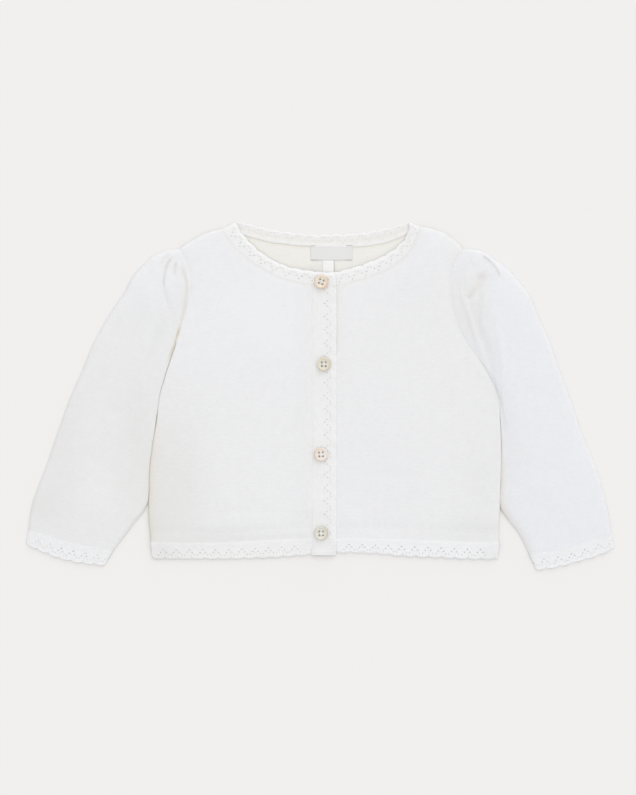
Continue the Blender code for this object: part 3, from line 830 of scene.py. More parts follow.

# %% [markdown]
# ## The knitted finishes
#
# Cotton is matt, with a faint sheen from the fluff that stands off it. Deep in a pleat the light has
# bounced from yarn to yarn and turned warmer, and that warm shade is painted in: the cloth carries a
# mask of painted shade, worked out with its folds, and the colour leans to a warm cream there. Painted
# light and shade also mix each finish between a lit and a dim copy of its white. The lace is the same
# yarn, knitted a little firmer and lighter.

# %% Knitted cloth material
COTTON = {"Roughness": 0.95, "Sheen Weight": 0.04, "Sheen Roughness": 0.6, "Specular IOR Level": 0.2}
LOOP_HEIGHT = 0.3  # mm
PAINTED_SHADE_CREAM = (0.62, 0.53, 0.36, 1)
# a finish's white as painted lit and painted dim, and the same two in a cooler painted light
Whites = namedtuple("Whites", "lit dim cool_lit cool_dim")
BODY_WHITES = Whites(
    lit=(0.831, 0.832, 0.837, 1),
    dim=(0.763, 0.763, 0.757, 1),
    cool_lit=(0.835, 0.843, 0.872, 1),
    cool_dim=(0.77, 0.774, 0.792, 1),
)
# the back's inside is painted a warmer white, for the warm shade inside the neck opening
INSIDE_WHITES = Whites(
    lit=(0.83, 0.822, 0.78, 1),
    dim=(0.77, 0.76, 0.715, 1),
    cool_lit=(0.83, 0.83, 0.83, 1),
    cool_dim=(0.77, 0.77, 0.77, 1),
)
LACE_WHITES = Whites(
    lit=(0.868, 0.868, 0.867, 1),
    dim=(0.772, 0.771, 0.765, 1),
    cool_lit=(0.868, 0.876, 0.902, 1),
    cool_dim=(0.775, 0.782, 0.80, 1),
)


def knit_material(name, whites, wale, course, raised):
    """Knitted cotton: its loops' width and height in millimetres, and how strongly they stand out."""
    made, tree, shader = new_finish(name, COTTON)
    stitches = use_group(tree, stitch_group, Place=on_cloth(tree), Wale=wale, Course=course)
    # the yarn's own uneven tone and the painted lighting mask together mix the dim and the lit white; the
    # painted cool light and the painted warm shade then tint it
    uneven = calc(tree, "MULTIPLY_ADD", stitches.outputs["Shade"], 1.6, -0.8)
    shade = calc(tree, "ADD", uneven, mask_of(tree, "white"))
    shade.node.use_clamp = True
    cool = mask_of(tree, "cool")
    dim = mix_colours(tree, cool, whites.dim, whites.cool_dim)
    lit = mix_colours(tree, cool, whites.lit, whites.cool_lit)
    plain = mix_colours(tree, shade, dim, lit)
    tinted = mix_colours(tree, mask_of(tree, "crevice"), plain, PAINTED_SHADE_CREAM)
    tree.links.new(tinted, shader.inputs["Base Color"])
    raise_surface(tree, shader, stitches.outputs["Loops"], raised, LOOP_HEIGHT)
    return made


body_knit = knit_material("body_knit", BODY_WHITES, 1.45, 1.05, 0.55)
inside_knit = knit_material("back_knit", INSIDE_WHITES, 1.45, 1.05, 0.45)
lace_knit = knit_material("lace_knit", LACE_WHITES, 1.3, 0.95, 0.4)
print("knitted finishes:", [m.name for m in (body_knit, inside_knit, lace_knit)])

# %% [markdown]
# ## The back
#
# The back lies on the table. Only its inside shows, in the neck opening, and its outside from below.
# Its side and shoulder edges curl up a little towards the fronts' edges, because the two are sewn
# together there and the seam is a fold.

# %% Back panel
EDGE_ROLL, SIDE_ROLL = 3.0, 1.4  # mm of cloth that turns round the shoulder and the side
FAR = 99  # mm, farther than any seam's mark reaches


def side_fold(y, left):
    """Height at which the back's and a front's edges meet: higher where a sleeve lies against them,
    and low again along the shoulder."""
    start = 28 if left else 38
    at_side = 0.6 + 1.5 * smooth((y - start) / 25) + 0.5 * smooth((y - start - 40) / 25)
    at_shoulder = 0.6 * smooth((y - SHOULDER_TIP + 10) / 12)
    return at_side * smooth((SHOULDER_TIP + 2 - y) / 12) + at_shoulder


def bend(t):
    """A quarter round: 0 at the edge, 1 from a distance of 1 on."""
    return np.sqrt(1 - (1 - np.clip(t, 0, 1)) ** 2)


def body_side(up, low, left):
    """The body's side edge, from the hem's seam up to the shoulder's tip."""
    y = low + (SHOULDER_TIP - low) * up
    return np.column_stack([side_x(y, left), y])


BACK_SHOULDER = 3 / 18
neck = seam_run(NECK_BACK, 0, -1)[1:-1]
back_across = graded(275, 2.2, 0.7, 4, 4, marks=(BACK_SHOULDER, 1 - BACK_SHOULDER))
back_up = graded(235, 2.2, 0.7, 3, 4)
back_top = chain(
    (SHOULDER_RIGHT, [SHOULDER_RIGHT[-1], *neck, SHOULDER_LEFT[-1]], SHOULDER_LEFT[::-1]),
    (BACK_SHOULDER, 1 - 2 * BACK_SHOULDER, BACK_SHOULDER),
    back_across,
)
back_hem = seam_line(HEM_BACK)
back_bottom = through(back_hem, back_across)
back_right = body_side(back_up, back_hem[0][1], False)
back_left = body_side(back_up, back_hem[-1][1], True)
back_bottom[0], back_bottom[-1] = back_right[0], back_left[0]
back_top[0], back_top[-1] = back_right[-1], back_left[-1]
plan = patch(back_bottom, back_top, back_right, back_left)
x, y = plan[..., 0], plan[..., 1]
from_hem, from_top, from_right, from_left = border_distances(plan)
on_neck = (back_across > BACK_SHOULDER) & (back_across < 1 - BACK_SHOULDER)
from_fold = np.minimum(np.minimum(from_right, from_left), np.where(on_neck, FAR, from_top))
curl = bend(from_fold / SIDE_ROLL)
valley = 0.2 * fading(np.minimum(from_hem, np.where(on_neck, from_top, FAR)), 0.9)
fold = np.where(x < 0, side_fold(y, False), side_fold(y, True))
# painted warm shade along the neck seam, and a base level of painted lighting
back_cloth = Cloth(
    outer=np.dstack([x, y, fold - 0.1 + (WALL - fold + 0.1) * curl - valley]),
    inner=np.dstack([x, y, (fold - 0.35) * (1 - curl)]),
    uv=plan,
    crevice=0.2 * fading(from_top, 2.0),
    white=0.85,
)
back_panel = shell("back_cloth", back_cloth, inside_knit)

# %% [markdown]
# ## The two fronts
#
# The fronts are patches too. Their side edges roll down to the back's, their shoulders roll down to
# the shoulder seam, and where another piece is sewn on, a narrow valley marks the seam. The swells
# and creases give the slow waves that cloth keeps after it is smoothed out by hand: higher inside
# the lower corner, a slant across the chest, a press line above the hem.

# %% Relief of the body
BODY_SWELLS = (
    Swell(-84, 60, 1.2, 26, 80, 60, 60),
    Swell(-100, 226, 0.7, 7, 22, 26, 20),
    Swell(85, 225, 0.9, 30, 24, 30, 30),
    Swell(20, 26, 0.5, 16, 14, 12, 16),
    Swell(136, 75, 0.7, 18, 14, 30, 26),
    Swell(60, 110, 0.7, 40, 30, 45, 40),
)
BODY_CREASES = (
    Crease(-0.6, 17, 17, 0, 0.3, 0.3, 0, ((-84, 206), (-55, 178), (-22, 152))),
    Crease(-0.4, 9, 9, 0, 0.3, 0.3, 0, ((103, 180), (103, 150), (99, 118))),
    Crease(0.2, 3, 3, 0, 0.3, 0.3, 0, ((-94, 36), (-55, 39), (-18, 37))),
    Crease(0.2, 4, 6, 0, 0.3, 0.3, 0, ((34, 150), (56, 143), (84, 146))),
    Crease(0.2, 5, 4, 0, 0.3, 0.3, 0, ((28, 76), (52, 66), (86, 70))),
)
FRONT_SHOULDER = 4 / 14
# how lit the fronts are painted, between the dim and the lit white
BODY_PAINTED_LIGHT = 0.74


def line_distance(x, y, line):
    """How far each place is from the nearest point of a line."""
    off = np.stack([x, y], -1)[..., None, :] - line
    return np.hypot(off[..., 0], off[..., 1]).min(-1)


def front_plan(left, shoulder, neck):
    """Places from the hem up to the shoulder and the neck, and from the side to the band."""
    hem = seam_line(HEM_LEFT)[::-1] if left else seam_line(HEM_RIGHT)
    across = graded(125, 1.8, 0.6, 7, 3, marks=(FRONT_SHOULDER,))
    up = graded(235, 1.8, 0.6, 4, 5)
    top = chain(([*shoulder], [shoulder[-1], *neck[1:]]), (FRONT_SHOULDER, 1 - FRONT_SHOULDER), across)
    bottom = through(hem, across)
    side = body_side(up, hem[0][1], left)
    bottom[0], top[0] = side[0], side[-1]
    centre = bottom[-1] + (top[-1] - bottom[-1]) * up[:, None]
    return patch(bottom, top, side, centre, 3.0)


def front_panel(name, left):
    """A front, held down at its seams and rolled down at its side and shoulder."""
    shoulder = SHOULDER_LEFT if left else SHOULDER_RIGHT
    neck = seam_run(NECK_LEFT, -1, 1) if left else seam_run(NECK_RIGHT, 0, -2)
    plan = front_plan(left, shoulder, neck)
    x, y = plan[..., 0], plan[..., 1]
    from_hem, from_top, from_side, from_band = border_distances(plan)
    from_shoulder = line_distance(x, y, through(shoulder, np.linspace(0, 1, 24)))
    from_neck = line_distance(x, y, neck)
    on_armhole = smooth((y - UNDERARM + 6) / 8)
    to_sleeve = from_side + FAR * (1 - on_armhole)
    to_lace = np.minimum(from_band + FAR * left, from_neck)
    held = np.minimum.reduce([from_hem, from_band, from_neck, from_side, from_top, from_shoulder])

    # the cloth's waves die out where it is held, and each seam lies in a narrow valley
    relief = swell_height(x, y, BODY_SWELLS) - crease_depth(x, y, BODY_CREASES)[0]
    relief = relief * smooth(held / 14) - 0.3 * fading(from_hem - 8.5, 3.6)
    valley = (WALL - LACE_WALL) * fading(to_lace, 1.6) + 0.1 * fading(to_lace, 0.5)
    valley = valley + (0.2 if left else 0.12) * fading(to_sleeve, 2.0 if left else 0.9)

    # the side and the shoulder roll down to the back, but not where the sleeve is sewn in
    sleeved = smooth((y - (LEFT_LEAVES if left else RIGHT_LEAVES) + 8) / 10)
    side_roll = np.where(sleeved * (1 - on_armhole) > 0.5, 0.8, SIDE_ROLL)
    roll = np.minimum((from_side + FAR * sleeved * on_armhole) / side_roll, from_shoulder / EDGE_ROLL)
    curl = bend(roll)
    floor = front_floor(x, y) if left else lapping_floor(x, y)
    high = floor + WALL + relief - valley
    low = np.maximum(floor + relief, WALL + 0.15)
    fold = side_fold(y, left)

    # painted warm shade in the gap beside the sleeve, at the seams, under the band's edge and at the right
    # side;
    # the painted lighting takes the hills of painted light and shade, and a painted shade above the right
    # front's hem
    painted_warm_shade = (0.12 if left else 0.3) * (1 - curl) * (from_side < 2) * smooth((RIGHT_LEAVES - y) / 20)
    painted_warm_shade = painted_warm_shade + 0.13 * fading(from_neck, 1.6) + 0.07 * fading(to_sleeve, 2.2)
    white = BODY_PAINTED_LIGHT + swell_height(x, y, PAINTED_LIGHT_AND_SHADE)
    if left:
        painted_warm_shade = painted_warm_shade + 0.2 * fading(from_band - 1.8, 1.0) * smooth((y - 158) / 14)
    else:
        side_shade = 0.18 * fading(from_side, 3.0) + 0.14 * fading(from_side, 10)
        painted_warm_shade = painted_warm_shade + side_shade * smooth((y - 2) / 20) * smooth((130 - y) / 60)
        white = white - 0.35 * fading(from_hem - 2, 3)
    cloth = Cloth(
        outer=np.dstack([x, y, fold + 0.1 + (high - fold - 0.1) * curl]),
        inner=np.dstack([x, y, fold - 0.05 + (low - fold + 0.05) * curl]),
        uv=plan,
        crevice=painted_warm_shade,
        white=white,
        cool=BODY_COOL + swell_height(x, y, COOLS),
    )
    return shell(name, cloth, body_knit)


front_right = front_panel("front_cloth_right", left=False)
front_left = front_panel("front_cloth_left", left=True)

# %% [markdown]
# ## The sleeves
#
# A sleeve is one tube, laid flat: over the top from the outer fold to the inner one, and back along
# the table. Its head is wider than the armhole, so the maker lays it in small pleats there, and it
# stands up in a puff before it comes down to the arm. The pleats are the creases below: sharp and
# lipped at the seam, and softer further out.

# %% Relief of the sleeves
RIGHT_HEAD = (
    # the main pleat, beside the armhole seam, from its head down to where the arm leaves the body
    Crease(0.9, 1.5, 1.3, 0.2, 0.3, 0.3, 0.18,
           ((-111.4, 233.7), (-108.6, 223.6), (-107.4, 213.3), (-107.9, 205))),
    Crease(0.8, 1.6, 1.3, 0, 0.3, 0.2, 0.26,
           ((-107.4, 216), (-108.2, 202.2), (-111, 188.8), (-115.6, 172))),
    Crease(1.1, 0.7, 1.0, 0, 0.2, 0.5, 0.6, ((-112, 186), (-115.4, 174), (-119.6, 162), (-124, 149.6))),
    # the outer pleat: sharp at its head, then a soft hollow
    Crease(1.0, 0.42, 0.45, 0.2, 0.25, 0.25, 0.24,
           ((-115.6, 241), (-119.2, 237.6), (-122.2, 232.6), (-123.9, 226), (-124.6, 219), (-124.4, 211))),
    Crease(1.2, 1.5, 3.2, 0, 0.35, 0.6, 0.03,
           ((-124.6, 219), (-123.8, 208), (-121, 198.3), (-117.4, 187))),
    # the short one between them
    Crease(0.7, 0.7, 0.9, 0.4, 0.2, 0.4, 0.2, ((-114.6, 236.6), (-116.1, 229), (-116, 222))),
    Crease(0.5, 0.6, 0.6, 0.3, 0.2, 0.4, 0.05,
           ((-119.6, 243.4), (-123.6, 240), (-126.6, 236), (-128, 230))),
    # small gathers along the seam
    Crease(0.25, 0.6, 0.6, 0, 0.3, 0.4, 0, ((-105.4, 233), (-108.4, 232.4), (-112, 229.6))),
    Crease(0.25, 0.6, 0.6, 0, 0.3, 0.4, 0, ((-104.4, 227), (-107, 227), (-110.4, 224.6))),
    Crease(0.25, 0.6, 0.6, 0, 0.3, 0.4, 0, ((-108, 239), (-111.4, 238), (-115, 235))),
    Crease(0.25, 0.7, 0.8, 0, 0.4, 0.4, 0, ((-110.6, 206), (-112.2, 196), (-113.8, 188))),
    # soft folds of the arm
    Crease(0.3, 5, 9, 0, 0.4, 0.4, 0, ((-176, 176), (-158, 178), (-138, 174))),
    Crease(0.5, 8, 10, 0, 0.4, 0.4, 0, ((-150, 98), (-164, 80), (-186, 62))),
    Crease(0.3, 6, 5, 0, 0.4, 0.4, 0, ((-176, 122), (-162, 116), (-148, 120))),
)
LEFT_HEAD = (
    # the outer pleat, an arc, with its inner lip standing up
    Crease(1.0, 0.5, 0.6, -0.5, 0.1, 0.2, 0.32,
           ((125.6, 240.6), (130.6, 237), (135.2, 232.2), (138.4, 226.6), (139.8, 220.4))),
    Crease(0.35, 1.4, 2.2, 0, 0.3, 0.4, 0, ((137, 224), (134.4, 215), (132.7, 205))),
    # the hollow in the middle, with its two arms
    Crease(1.2, 5.0, 1.5, 0, 0.25, 0.1, 0.13,
           ((125.6, 228), (124.4, 219.4), (120.5, 212), (114.4, 204.4))),
    Crease(0.6, 2.0, 2.4, 0, 0.25, 0.5, 0.1,
           ((124.8, 219), (124.4, 205.4), (124, 193.6), (124.8, 180), (127.6, 168))),
    # a short one at the shoulder, and gathers along the seam
    Crease(0.3, 0.6, 0.9, 0.1, 0.2, 0.3, 0,
           ((114.2, 240), (116.9, 236.2), (119.4, 232), (119.6, 226.5))),
    Crease(0.2, 0.7, 0.7, 0, 0.3, 0.3, 0, ((111, 228), (112, 220.4), (111.6, 214.5))),
    Crease(0.2, 0.7, 0.7, 0, 0.3, 0.3, 0, ((106.7, 219.5), (108.2, 211), (109.8, 202.5))),
    # the ridge that runs on down the arm
    Crease(-0.7, 2.2, 2.4, 0, 0.2, 0.3, 0,
           ((107.4, 217), (112, 205.4), (115.2, 195.9), (118.4, 185.7), (121.6, 175.4),
            (125.4, 165.9), (128.8, 156.4), (134.2, 145), (140, 130))),
    # soft folds of the arm
    Crease(0.3, 7, 6, 0, 0.4, 0.4, 0, ((150, 140), (166, 132), (184, 136))),
    Crease(0.3, 8, 6, 0, 0.4, 0.4, 0, ((154, 80), (172, 70), (196, 76))),
    Crease(0.3, 6, 5, 0, 0.4, 0.4, 0, ((160, 52), (176, 40), (190, 32))),
)
RIGHT_SWELLS = (
    Swell(-140, 208, 1.2, 22, 14, 24, 22),
    Swell(-166, 44, 0.9, 18, 16, 20, 20),
    Swell(-150, 140, 0.8, 30, 14, 50, 40),
)
LEFT_SWELLS = (
    Swell(131, 232, 0.8, 6, 6, 8, 8),
    Swell(150, 200, 0.9, 16, 22, 40, 24),
    Swell(158, 110, 0.8, 14, 30, 50, 50),
)
print(len(RIGHT_HEAD) + len(LEFT_HEAD), "sleeve creases")

# %% The laid tube
SLEEVE_WALL = 1.1
ARMHOLE_TURN, RIGHT_TURN, LEFT_TURN = 2.0, 3.2, 9.2  # mm of cloth in the inner fold, there and below
FOLD_LOW, FOLD_TURN = 0.08, 3.8  # share of its height where a fold is widest; mm of cloth in it
CONTACT = 0.65  # and more of its height where it lies against the body
CUT_ABOVE = 0.5  # a tube's two walls never come closer than this
RIGHT_PARTS, LEFT_PARTS = 0.52, 0.62  # share of the sleeve from which it leaves the body's side
OVER = graded(112, 0.75, 0.4, 4, 4)  # across the top of a sleeve
BACK = graded(112, 3.2, 0.6, 5, 5)[-2:0:-1]  # and back along the table
Stretch = namedtuple("Stretch", "start end step")
ROW_STRETCHES = (
    Stretch(0, 48, 0.6),
    Stretch(48, 66, 1.2),
    Stretch(66, 232, 2.3),
    Stretch(232, 242, 0.9),
)
row_places = np.concatenate([np.arange(*stretch) for stretch in ROW_STRETCHES])
ALONG = with_rims(row_places / row_places[-1], row_places[-1])  # from the armhole to the cuff


def sleeve_plan(left, outer, inner, armhole, cuff_seam, parting):
    """Places from the outer fold to the inner one, clear of the body's side."""
    near = through([armhole[0], *outer, cuff_seam[0]], ALONG)
    far = through([armhole[-1], *inner, cuff_seam[-1]], ALONG)
    plan = patch(armhole, through(cuff_seam, OVER), near, far)
    room = np.minimum(ALONG * FAR, 0.03 + (0.5 if left else 1.1) * parting)[:, None] * np.sqrt(1 - OVER)
    edge = side_x(plan[..., 1], left) + (room if left else -room)
    clear = np.maximum(plan[..., 0], edge) if left else np.minimum(plan[..., 0], edge)
    beside = (plan[..., 1] > 0) & (plan[..., 1] < SHOULDER_TIP)
    plan[..., 0] = np.where(beside, clear, plan[..., 0])
    return plan


def laid_ring(row, share, wall):
    """A tube's section: places across a row of its plan, as points over the top or along the table.
    The inner side of the cloth is narrower by 2.5 walls, so that it turns inside the folds."""
    width = np.hypot(*(row[-1] - row[0]))
    keep = 1 - 2.5 * wall / width
    middle = (row[0] + row[-1]) / 2
    across = np.column_stack([np.interp(share, chord_share(row), row[:, k]) for k in (0, 1)])
    return middle + (across - middle) * keep, share * keep + (1 - keep) / 2, width


def fold_middle(share, fold, contact):
    """Height at which a fold is widest: low, but higher where the inner one lies on the body."""
    return np.where(share < 0.5, FOLD_LOW, FOLD_LOW + CONTACT * contact) * fold


def sleeve_top(share, width, crest, fold, contact, inner_turn, relief):
    """Height over the table of the upper side of a laid tube, at places across it."""
    half = fold_middle(share, fold, contact)
    from_outer, from_inner = share * width, (1 - share) * width
    turn = bend(from_outer / FOLD_TURN) * bend(from_inner / inner_turn)
    swell = bend(from_outer / (0.3 * width)) * smooth(from_inner / (0.6 * width))
    top = fold + (crest - fold) * swell + relief * turn
    top = np.maximum(top, 2 * SLEEVE_WALL + CUT_ABOVE)
    return half + (top - half) * turn


def sleeve_rings(left, plan, parting, lift, creases, swells):
    """The outer and the inner section of the tube at each row of its plan."""
    from_armhole, from_cuff, _, _ = border_distances(plan)
    heights = spline(SLEEVE_HEIGHTS, ALONG)
    turns = ARMHOLE_TURN + ((LEFT_TURN if left else RIGHT_TURN) - ARMHOLE_TURN) * smooth((ALONG - 0.3) / 0.2)
    outer_rings, inner_rings = [], []
    for i, row in enumerate(plan):
        fold, contact = heights[i][1], 1 - parting[i]
        for wall, rings in ((0.0, outer_rings), (SLEEVE_WALL, inner_rings)):
            over, share, width = laid_ring(row, OVER, wall)
            quick = 1 - 0.72 * smooth((share - 0.2) / 0.35)
            puffed = ALONG[i] * (quick + (1 - quick) * smooth((ALONG[i] - 0.12) / 0.4))
            crest = spline(SLEEVE_HEIGHTS, puffed)[:, 0]
            formed = swell_height(over[:, 0], over[:, 1], swells)
            formed = formed - crease_depth(over[:, 0], over[:, 1], creases)[0]
            relief = formed * smooth(from_armhole[i] / 3) + lift * (1 - smooth(ALONG[i] / 0.14))
            top = sleeve_top(share, width, crest, fold, contact, turns[i], relief)
            seam = 0.14 * fading(from_armhole[i], 1.6 if left else 0.9) + 0.05 * fading(from_cuff[i], 0.9)
            top = top - (0 if wall else 1) * seam * bend(OVER * (1 - OVER) * 40)
            under, low_share, _ = laid_ring(row, BACK, wall)
            turn = bend(np.minimum(low_share, 1 - low_share) * width / FOLD_TURN)
            bottom = fold_middle(low_share, fold, contact) * (1 - turn) + wall
            if wall:
                turn = bend(np.minimum(share, 1 - share) * width / FOLD_TURN)
                least = fold_middle(share, fold, contact) * (1 - turn)
                top = np.maximum(top - wall, least + wall + 0.3)
            rings.append(np.concatenate([np.column_stack([over, top]), np.column_stack([under, bottom])]))
    return np.array(outer_rings), np.array(inner_rings)


def sleeve_masks(left, plan, grid, parting, creases):
    """The painted warm shade, the painted lighting and the cool painted light of the sleeve's cloth."""
    widths = np.hypot(*(plan[:, -1] - plan[:, 0]).T)[:, None]
    from_outer, from_inner = OVER * widths, (1 - OVER) * widths
    parted = parting[:, None]
    # painted warm shade in the inner fold, wider on the left sleeve; painted shade at the left sleeve's
    # outer fold, painted light at the right one's, and painted light along the inner fold where the arm
    # parts from the body
    inside = (0.18 if left else 0.28) * (1 - parted) * np.exp(-from_inner / 1.6)
    inside = inside + 0.3 * left * (1 - 0.5 * parted) * fading(from_inner, 4)
    inside = inside * smooth((ALONG - 0.1) / 0.2)[:, None]
    crevice = np.full(grid.shape[:2], 0.3)
    cream = crease_depth(plan[..., 0], plan[..., 1], creases)[1]
    crevice[:, : len(OVER)] = np.clip(cream + inside, 0, 1)
    white = (0.56 if left else 0.5) + swell_height(grid[..., 0], grid[..., 1], PAINTED_LIGHT_AND_SHADE)
    at_outer = -0.12 * fading(from_outer, 3.5) if left else 0.2 * np.exp(-from_outer / 0.9)
    white[:, : len(OVER)] += at_outer + 0.45 * parted * np.exp(-from_inner / 0.8)
    cool = (LEFT_COOL if left else RIGHT_COOL) + swell_height(grid[..., 0], grid[..., 1], COOLS)
    return crevice, white, cool


def sleeve(name, left, outer, inner, cuff, creases, swells):
    """A sleeve laid as a flat tube, from the armhole to its cuff edging."""
    tip_to_arm = SHOULDER_TIP + (UNDERARM - SHOULDER_TIP) * OVER
    armhole = np.column_stack([side_x(tip_to_arm, left), tip_to_arm])
    cuff_seam = seam_line(cuff)
    parting = smooth((ALONG - (LEFT_PARTS if left else RIGHT_PARTS)) / 0.2)
    plan = sleeve_plan(left, outer, inner, armhole, cuff_seam, parting)
    lift = front_floor(armhole[:, 0], armhole[:, 1]) + WALL - SLEEVE_HEIGHTS[0].fold
    outer_grid, inner_grid = sleeve_rings(left, plan, parting, lift, creases, swells)
    arm = cuff_seam.mean(0) - armhole.mean(0)
    arm /= np.hypot(*arm)
    across = outer_grid[..., 0] * -arm[1] + outer_grid[..., 1] * arm[0]
    uv = np.dstack([across, outer_grid[..., :2] @ -arm])
    masks = sleeve_masks(left, plan, outer_grid, parting, creases)
    return shell(name, Cloth(outer_grid, inner_grid, uv, *masks), body_knit, closed=True)


sleeve_right = sleeve(
    "sleeve_cloth_right", False, SLEEVE_RIGHT_OUTER, SLEEVE_RIGHT_INNER, CUFF_RIGHT, RIGHT_HEAD, RIGHT_SWELLS
)
sleeve_left = sleeve(
    "sleeve_cloth_left", True, SLEEVE_LEFT_OUTER, SLEEVE_LEFT_INNER, CUFF_LEFT, LEFT_HEAD, LEFT_SWELLS
)

# %% [markdown]
# ## The lace edging
#
# Pointelle is knitted lace: a yarn is carried over the needle to leave an eyelet, and two loops
# knitted together beside it pull the next stitch over. Eyelets in an upside-down V, one V every
# 10.4 mm, draw the free edge into scallops. The edging starts at its seam with a plump plain roll.
#
# It is charted here: five eyelets a repeat, each a real hole. Cells of the grid are left
# out round each eyelet's middle and the points round it are moved onto its circle. Round the back
# of the neck the eyelets are drawn so tight that they are only pits.

# %% Lace chart
REPEAT = 10.4  # mm from one V to the next
Eyelet = namedtuple("Eyelet", "aside below radius")  # from the V's point
CHART = (
    Eyelet(0.0, 0.0, 0.56),
    Eyelet(-2.1, 2.2, 0.52),
    Eyelet(2.1, 2.2, 0.52),
    Eyelet(-4.0, 4.4, 0.44),
    Eyelet(4.0, 4.4, 0.44),
)
V_SLOPE = 1.07  # how much the V drops for each mm aside
SCALLOP, NOTCH_ASIDE = 1.5, 1.0  # mm: depth of a notch, and how far it lies from the V's point

# depth of the edging; height of the V's point over the free edge; place of the first V; Vs; roll at
# its seam; depth of the scallops; how far the eyelets are drawn open
Lace = namedtuple("Lace", "depth apex first count roll scallop open")


def chart_places(along, lace):
    """How far along and aside of its nearest V's point each place is."""
    number = np.clip(np.round((along - lace.first) / REPEAT), 0, lace.count - 1)
    return along - lace.first - number * REPEAT


def scallop(along, lace):
    """How far the free edge draws back at each place along it: rounded lobes and sharp notches."""
    turn = pi * (chart_places(along, lace) - NOTCH_ASIDE) / REPEAT
    return lace.scallop * (1 - np.abs(np.sin(turn)) ** 0.6)


print(len(CHART), "eyelets in a repeat of", REPEAT, "mm")

# %% Relief and holes of the lace


def lace_relief(along, over_free, down, lace):
    """Height of the lace over its thin ground: the roll at the seam, the ribs beside the eyelets,
    the collar round each, and the plump cast-off edge."""
    aside = chart_places(along, lace)
    in_chart = smooth((REPEAT * 0.75 - np.abs(aside)) / 1.5)
    line = (over_free - lace.apex + V_SLOPE * np.abs(aside)) / np.hypot(1, V_SLOPE)
    in_height = smooth((over_free - 0.8) / 1.2) * smooth((lace.apex + 3.2 - over_free) / 1.5)
    ribs = fading(line - 1.25, 0.55) + fading(line + 1.25, 0.55)
    fan = np.cos(2 * pi * (aside + 0.3 * over_free) / (REPEAT / 4))
    fan = fan * smooth((lace.apex - 1 - over_free) / 3)
    fan_depth = 0.06 + 0.45 * lace.roll * (lace.roll < 0.5)
    rise = 0.08 * ribs * in_height * in_chart + fan_depth * fan * smooth(over_free / 1.0)
    for eyelet in CHART:
        away = np.hypot(aside - eyelet.aside, over_free - lace.apex + eyelet.below)
        rise = rise + 0.07 * fading(away - 0.95, 0.4) * in_chart
        rise = rise - 0.32 * fading(away, 0.5) * in_chart
    edge = 0.1 * fading(over_free - scallop(along, lace) - 1.2, 0.8)
    roll = lace.roll * fading(down - 0.6, 3.0)
    return rise + edge + roll


def eyelet_pits(along, over_free, lace):
    """Painted warm shade in the lace: a soft spot at each eyelet."""
    aside, spots = chart_places(along, lace), 0.0
    for eyelet in CHART:
        away = np.hypot(aside - eyelet.aside, over_free - lace.apex + eyelet.below)
        spots = spots + 0.2 * fading(away, 0.6)
    return spots


def cut_eyelets(along, over_free, lace):
    """Which cells the eyelets leave out, and the grid with the eyelets' rims on their circles."""
    middle_along = (along[:-1, :-1] + along[1:, 1:]) / 2
    middle_free = (over_free[:-1, :-1] + over_free[1:, 1:]) / 2
    keep = np.ones(middle_along.shape, bool)
    along, over_free = along.copy(), over_free.copy()
    for number in range(lace.count):
        for eyelet in CHART:
            at = lace.first + number * REPEAT + eyelet.aside
            up = lace.apex - eyelet.below
            if not (along.min() + 1 < at < along.max() - 1) or not lace.open:
                continue
            away = np.hypot(middle_along - at, middle_free - up)
            inside = away <= max(eyelet.radius * lace.open, away.min() + 1e-6)
            keep &= ~inside
            corner = np.zeros(along.shape, bool)
            for i in (0, 1):
                for j in (0, 1):
                    corner[i : i + inside.shape[0], j : j + inside.shape[1]] |= inside
            off_along, off_up = along[corner] - at, over_free[corner] - up
            reach = np.hypot(off_along, off_up) + 1e-6
            along[corner] = at + off_along / reach * eyelet.radius * lace.open
            over_free[corner] = up + off_up / reach * eyelet.radius * lace.open
    return keep, along, over_free


sample = Lace(depth=12.0, apex=7.7, first=0.0, count=2, roll=0.35, scallop=SCALLOP, open=0.8)
seam_roll = lace_relief(REPEAT / 2, sample.depth - 0.6, 0.6, sample)
print("the roll at the seam stands", round(float(seam_roll), 2), "mm over the ground of the lace")

# %% Lace that lies flat
CELL = 0.52  # mm
NOTCH_REACH = 4.5  # mm over the free edge to which the notches draw the lace back
LAP_TURN, LAP_SINK = 3, 0.5  # mm of an end that goes under another piece, and how far it sinks
FLUSH_SINK = 0.45  # mm that a free edge sinks to lie flush with the cloth beside it
TUCK_HIGH, TUCK_LOW = 0.7, 0.4  # mm over the table of the two sides of an end that is tucked in


def lace_lengths(rows):
    """Mean length of an edging and its mean depth."""
    seam, free = seam_line(rows), free_line(rows)
    length = (np.hypot(*np.diff(seam, axis=0).T).sum() + np.hypot(*np.diff(free, axis=0).T).sum()) / 2
    return length, np.hypot(*(free - seam).T).mean()


def lace_grid(lace, length, share):
    """Distances along and over the free edge for a grid whose columns have the given shares."""
    down = graded(lace.depth, CELL, 0.3, 0.8, 1.2) * lace.depth
    along = np.broadcast_to(share * length, (len(down), len(share)))
    over_free = np.broadcast_to((lace.depth - down)[:, None], along.shape)
    return along, over_free


def lace_plan(rows, lace, length, along, over_free):
    """Plan places of the lace, with its free edge drawn back at the notches."""
    share = np.clip(along / length, 0, 1)
    seam, free = through(seam_line(rows), share), through(free_line(rows), share)
    drawn = over_free + scallop(along, lace) * smooth(1 - over_free / NOTCH_REACH)
    down = (1 - drawn / lace.depth)[..., None]
    return seam * (1 - down) + free * down


